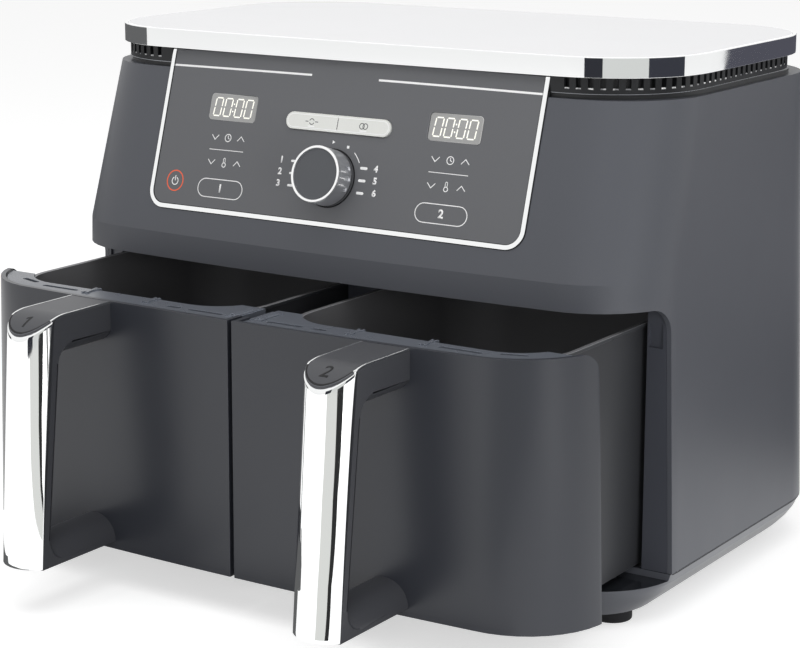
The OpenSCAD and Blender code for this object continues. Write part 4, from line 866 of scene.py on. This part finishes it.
dial_dark = plastic("dial_dark", "47494D", 0.4, grain=1800, strength=0.15)
finished("dial_knob", "dial_face", dial_dark, edge=0.3)
skirt_satin = polished("skirt_satin", "F2F3F6", 0.40, 0.03)
finished("dial_ring", "dial_skirt", skirt_satin, edge=0.2)
dial_high, around = 16.0, 72
# the rim's section: mm off the dial's axis, and over its height
profile = [(16.3, -1.4), (17.2, -1.3), (17.24, -0.4), (17.12, 0.02), (16.9, 0.2), (15.75, 0.2), (15.58, 0.02),
           (15.5, -1.0)]
rim = bmesh.new()
rows = [[rim.verts.new(on_dial(r, 2 * math.pi * k / around, dial_high + h)) for r, h in profile]
        for k in range(around)]
for k in range(around):
    here, there = rows[k], rows[(k + 1) % around]
    for j in range(len(profile)):
        after = (j + 1) % len(profile)
        rim.faces.new((here[j], there[j], there[after], here[after]))
bmesh.ops.recalc_face_normals(rim, faces=rim.faces)
mesh = meshed(rim, "dial_rim")
mesh.shade_smooth()
mesh.set_sharp_from_angle(angle=math.radians(25))
rim_bright = polished("rim_bright", "FFFFFF", 0.3, 0.04)
put_in_scene(mesh, "dial_rim", rim_bright, "dial")


def closed_rows(shape, rows):
    """Adds a closed solid through rows of points that are each a ring."""
    grid = [[shape.verts.new(p) for p in row] for row in rows]
    for a, b in zip(grid, grid[1:]):
        for k in range(len(a)):
            shape.faces.new((a[k], a[(k + 1) % len(a)], b[(k + 1) % len(a)], b[k]))
    shape.faces.new(grid[0])
    shape.faces.new(list(reversed(grid[-1])))
    bmesh.ops.recalc_face_normals(shape, faces=shape.faces)


# Three white lines run down the skirt's right side, painted highlights where its notches catch the light.
notch_highlights = bmesh.new()
for angle in (12, -1.5, -15):
    closed_rows(notch_highlights, [[on_dial(r, math.radians(angle + swing), h) for swing, h in (
        (-0.95, 8.4), (0.95, 8.4), (0.95, 13.6), (-0.95, 13.6))] for r in (17.1, 17.24)])
put_in_scene(meshed(notch_highlights, "dial_notch_highlights"), "dial_notch_highlights", white_ink, "dial")

# Drawers ------------------------------------------------------
# Coated steel pan behind a moulded front. A dark bracket with slots and ribs ties the two
# together along the top, and the perforated plate lies in the pan on soft pads.
cover_satin = plastic("cover_satin", "2C2E34", 0.31, grain=1600, strength=0.2)
# The bracket's broken edges are lightened more strongly, as painted glints.
bracket_dark = plastic("bracket_dark", "5B5F67", 0.28, grain=1200, strength=0.15, spread=0.12, rub=2.2)
pad_soft = plastic("pad_soft", "2A2A2C", 0.7, grain=900, specular=0.3)
pan_coat = plastic("pan_coat", "343538", 0.42, grain=2600, strength=0.2, tone=0.2, spread=0.12, metallic=0.2)
# Faces that look into the pan, and the whole plate, are paler: painted light that lifts the shade inside.
two_coats(pan_coat, "lifted_inside", "343538", "6C6C6E")


def mark_cooking_side(piece, all_of_it=False):
    """Marks the faces that look into the pan: they get a paler coat, painted light that lifts their shade."""
    corners = list(zip(*[v.co for v in piece.data.vertices]))
    middle = (Vector(map(min, corners)) + Vector(map(max, corners))) / 2

    def looks_in(face):
        inward = (middle - face.center).xy.dot(face.normal.xy) > 0
        return all_of_it or (inward if abs(face.normal.z) < 0.5 else face.normal.z > 0)

    mark_faces(piece.data, "lifted_inside", looks_in)


for side, sign in SIDES:
    mark_cooking_side(finished("drawer_pan_" + side, "pan_" + side, pan_coat, edge=0.3))
    finished("drawer_cover_" + side, "cover_" + side, cover_satin, edge=0.6, smooth=12)
    finished("drawer_bracket_" + side, "bracket_" + side, bracket_dark, edge=0.4)
    mark_cooking_side(finished("crisper_plate_" + side, "plate_" + side, pan_coat, edge=0), True)
    finished("plate_pads_" + side, "pads_" + side, pad_soft, edge=0.3)

# Handles ------------------------------------------------------
# A moulded loop. A plated skin is glued round its front, two plated lines run along its top,
# and between them lies a satin cap with the drawer's number sunk in it.
grip_dark = plastic("grip_dark", "3A3B3F", 0.36, grain=1500, strength=0.2)
cap_satin = plastic("cap_satin", "3E3F43", 0.42, grain=1700, strength=0.15)
number_dark = plastic("number_dark", "0D0D0F", 0.62, grain=1700)
# mm: how far the handle stands out, how far its front leans back, its top's level run and
# the drop at its end, then the rounding of its front and the sizes of the skin, lines and cap
reach, grip_rake, level_run, end_drop = 70.5, 10.0, 36.0, 9.6
nose_top, nose_low, skin_thick, cap_thick, line_wide, line_past = 15.3, 7.3, 1.6, 1.4, 1.1, 3.0
end_run = reach - grip_rake - level_run
end_r = (end_run ** 2 + end_drop ** 2) / (2 * end_drop)
air_gap = 0.01     # the skin and the lines lie this far inside the CAD form


def top_at(y, drop):
    """How far under the handle's highest level its top lies at y, which counts from the cover outwards."""
    over = max(0.0, -y - level_run)
    return end_r - math.sqrt(max(0.0, (end_r - drop) ** 2 - over ** 2))


def solid_of(name, rows, finish, body):
    """A smooth piece through rows of points in mm."""
    shape = bmesh.new()
    closed_rows(shape, [[Vector(p) * mm for p in row] for row in rows])
    mesh = meshed(shape, name)
    mesh.shade_smooth()
    return put_in_scene(mesh, name, finish, body)


def plated_skin(side):
    """Makes a handle's skin, plated lines and groove. Returns where its cap lies, and its body."""
    node = "handle_chrome_" + side
    low, high = [[c / mm for c in p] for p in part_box(node)]
    mid_x, half = (low[0] + high[0]) / 2, (high[0] - low[0]) / 2
    cover_y, z0, z1 = low[1] + reach, low[2], high[2]
    r_top, r_low = [(half ** 2 + deep ** 2) / (2 * deep) for deep in (nose_top, nose_low)]
    body, slot = nodes[node]["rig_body"], slot_of(node)

    def plated(name, rows, edge):
        piece = solid_of(name, rows, bright_plating, body)
        break_edges(piece, edge, 40, 2)
        settled(piece).set_sharp_from_angle(angle=math.radians(45))
        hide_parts(node)

    def across(z, share, thick):
        """Point on the rounded front at height z, share of the way from its middle to its edge."""
        up = (z - z0) / (z1 - z0)
        r = r_low + (r_top - r_low) * up
        turn = share * math.asin(min(1.0, (half - thick) / (r - thick)))
        return (r - thick) * math.sin(turn), grip_rake * up - reach + r - (r - thick) * math.cos(turn)

    columns, levels = 56, 64
    shares = [2 * k / columns - 1 for k in range(columns + 1)]
    rows = []
    for level in range(levels + 1):
        row = []
        for share, thick in [(s, air_gap) for s in shares] + [(-s, skin_thick) for s in shares]:
            z_end = z1 - cap_thick
            for _ in range(8):
                z_end = z1 - top_at(across(z_end, share, thick)[1], cap_thick)
            z = z0 + (z_end - z0) * level / levels
            x, y = across(z, share, thick)
            row.append((mid_x + x, cover_y + y, z))
        rows.append(row)
    plated("skin_" + side, rows, 0.2)
    # the plated lines along the top
    y_mid = r_top - reach + grip_rake
    start, end = nose_top + grip_rake - reach - line_past, high[1] - cover_y - 0.02
    for way, hand in ((-1, "a"), (1, "b")):
        rows = []
        for k in range(41):
            y = start + (end - start) * k / 40
            back = max(0.0, y_mid - y)
            out = min(math.sqrt(r_top ** 2 - back ** 2), half) - air_gap
            into = min(math.sqrt((r_top - line_wide) ** 2 - back ** 2), half - line_wide)
            rows.append([(mid_x + way * x, cover_y + y, z1 - top_at(y, drop)) for x, drop in (
                (out, 0.0), (into, 0.0), (into, cap_thick), (out, cap_thick))])
        plated("cap_line_" + side + "_" + hand, rows, 0.18)
    # the near-black groove between the cap and the skin, round the front: a dark joint, and painted shade in
    # the gap
    rows = []
    for k in range(49):
        turn = math.radians(-90 + 180 * k / 48)
        row = []
        for inset, lift in ((0.45, 0.08), (1.35, 0.08), (1.35, -0.3), (0.45, -0.3)):
            x, y = (r_top - inset) * math.sin(turn), y_mid - (r_top - inset) * math.cos(turn)
            row.append((mid_x + x, cover_y + y, z1 - top_at(y, 0.2) + lift))
        rows.append(row)
    solid_of("cap_groove_" + side, rows, number_dark, body)
    return mid_x, cover_y, z1, body


def sunk_number(side, text, mid_x, cover_y, z1, body):
    """A numeral let into the cap, turned to be read from in front."""
    name = "cap_number_" + side + ".001"
    if text == "1":
        shape = bmesh.new()
        patch(shape, (
            (0.8, 4.4), (-0.2, 4.4), (-2.4, 3.0), (-2.4, 1.7), (-0.6, 2.7), (-0.6, -4.4), (0.8, -4.4)))
    else:
        shape = numeral(name, text, 8.8, 0.1, 6)
    bmesh.ops.remove_doubles(shape, verts=shape.verts, dist=1e-5)
    bmesh.ops.triangulate(shape, faces=shape.faces)
    bmesh.ops.subdivide_edges(shape, edges=[e for e in shape.edges if e.calc_length() > 1.5], cuts=2)
    bmesh.ops.triangulate(shape, faces=shape.faces)
    thicken(shape, 0.15)
    number_y = -51.5
    for v in shape.verts:
        y = v.co.y + number_y
        v.co = Vector((mid_x + v.co.x, cover_y + y, z1 - top_at(y, 0.2) + v.co.z - 0.02)) * mm
    put_in_scene(meshed(shape, name), name, number_dark, body)


for (side, sign), text in zip(SIDES, ("1", "2")):
    finished("handle_grip_" + side, "grip_" + side, grip_dark, edge=0.5, smooth=20, segments=3)
    sunk_number(side, text, *plated_skin(side))
    finished("handle_cap_" + side, "cap_" + side, cap_satin, edge=0.2, smooth=20)

# Works inside -------------------------------------------------
# Sheathed heating elements under wire guards, hot and cooling fans on one shaft, motors,
# boards and switches. They show through the mouths and the vents only.
by_slot = {
    "element_sheath": metal("element_dark", "4C4846", 0.5, tone=0.25, metallic=0.8),
    "steel": metal("screw_steel", "B0B2B5", 0.3),
    "board_green": plastic("board_green", "1F5C38", 0.45, grain=900, coat=0.3),
    "dark_plastic": plastic("works_dark", "2D2D30", 0.45),
    "display_white": plastic("works_white", "D8D8D2", 0.5)}
by_name = (("element_guard", metal("wire_bright", "B8BABD", 0.25)),
           ("hot_fan", metal("fan_steel", "A8AAAD", 0.35)), ("motor", metal("motor_steel", "8C8E92", 0.4)))
for node, cad in nodes.items():
    finish = by_slot.get(slot_of(node)) if cad.data.materials else None
    for start, own in by_name:
        if node.startswith(start):
            finish = own
    if finish is not None:
        for holder in cad.material_slots:
            holder.material = finish
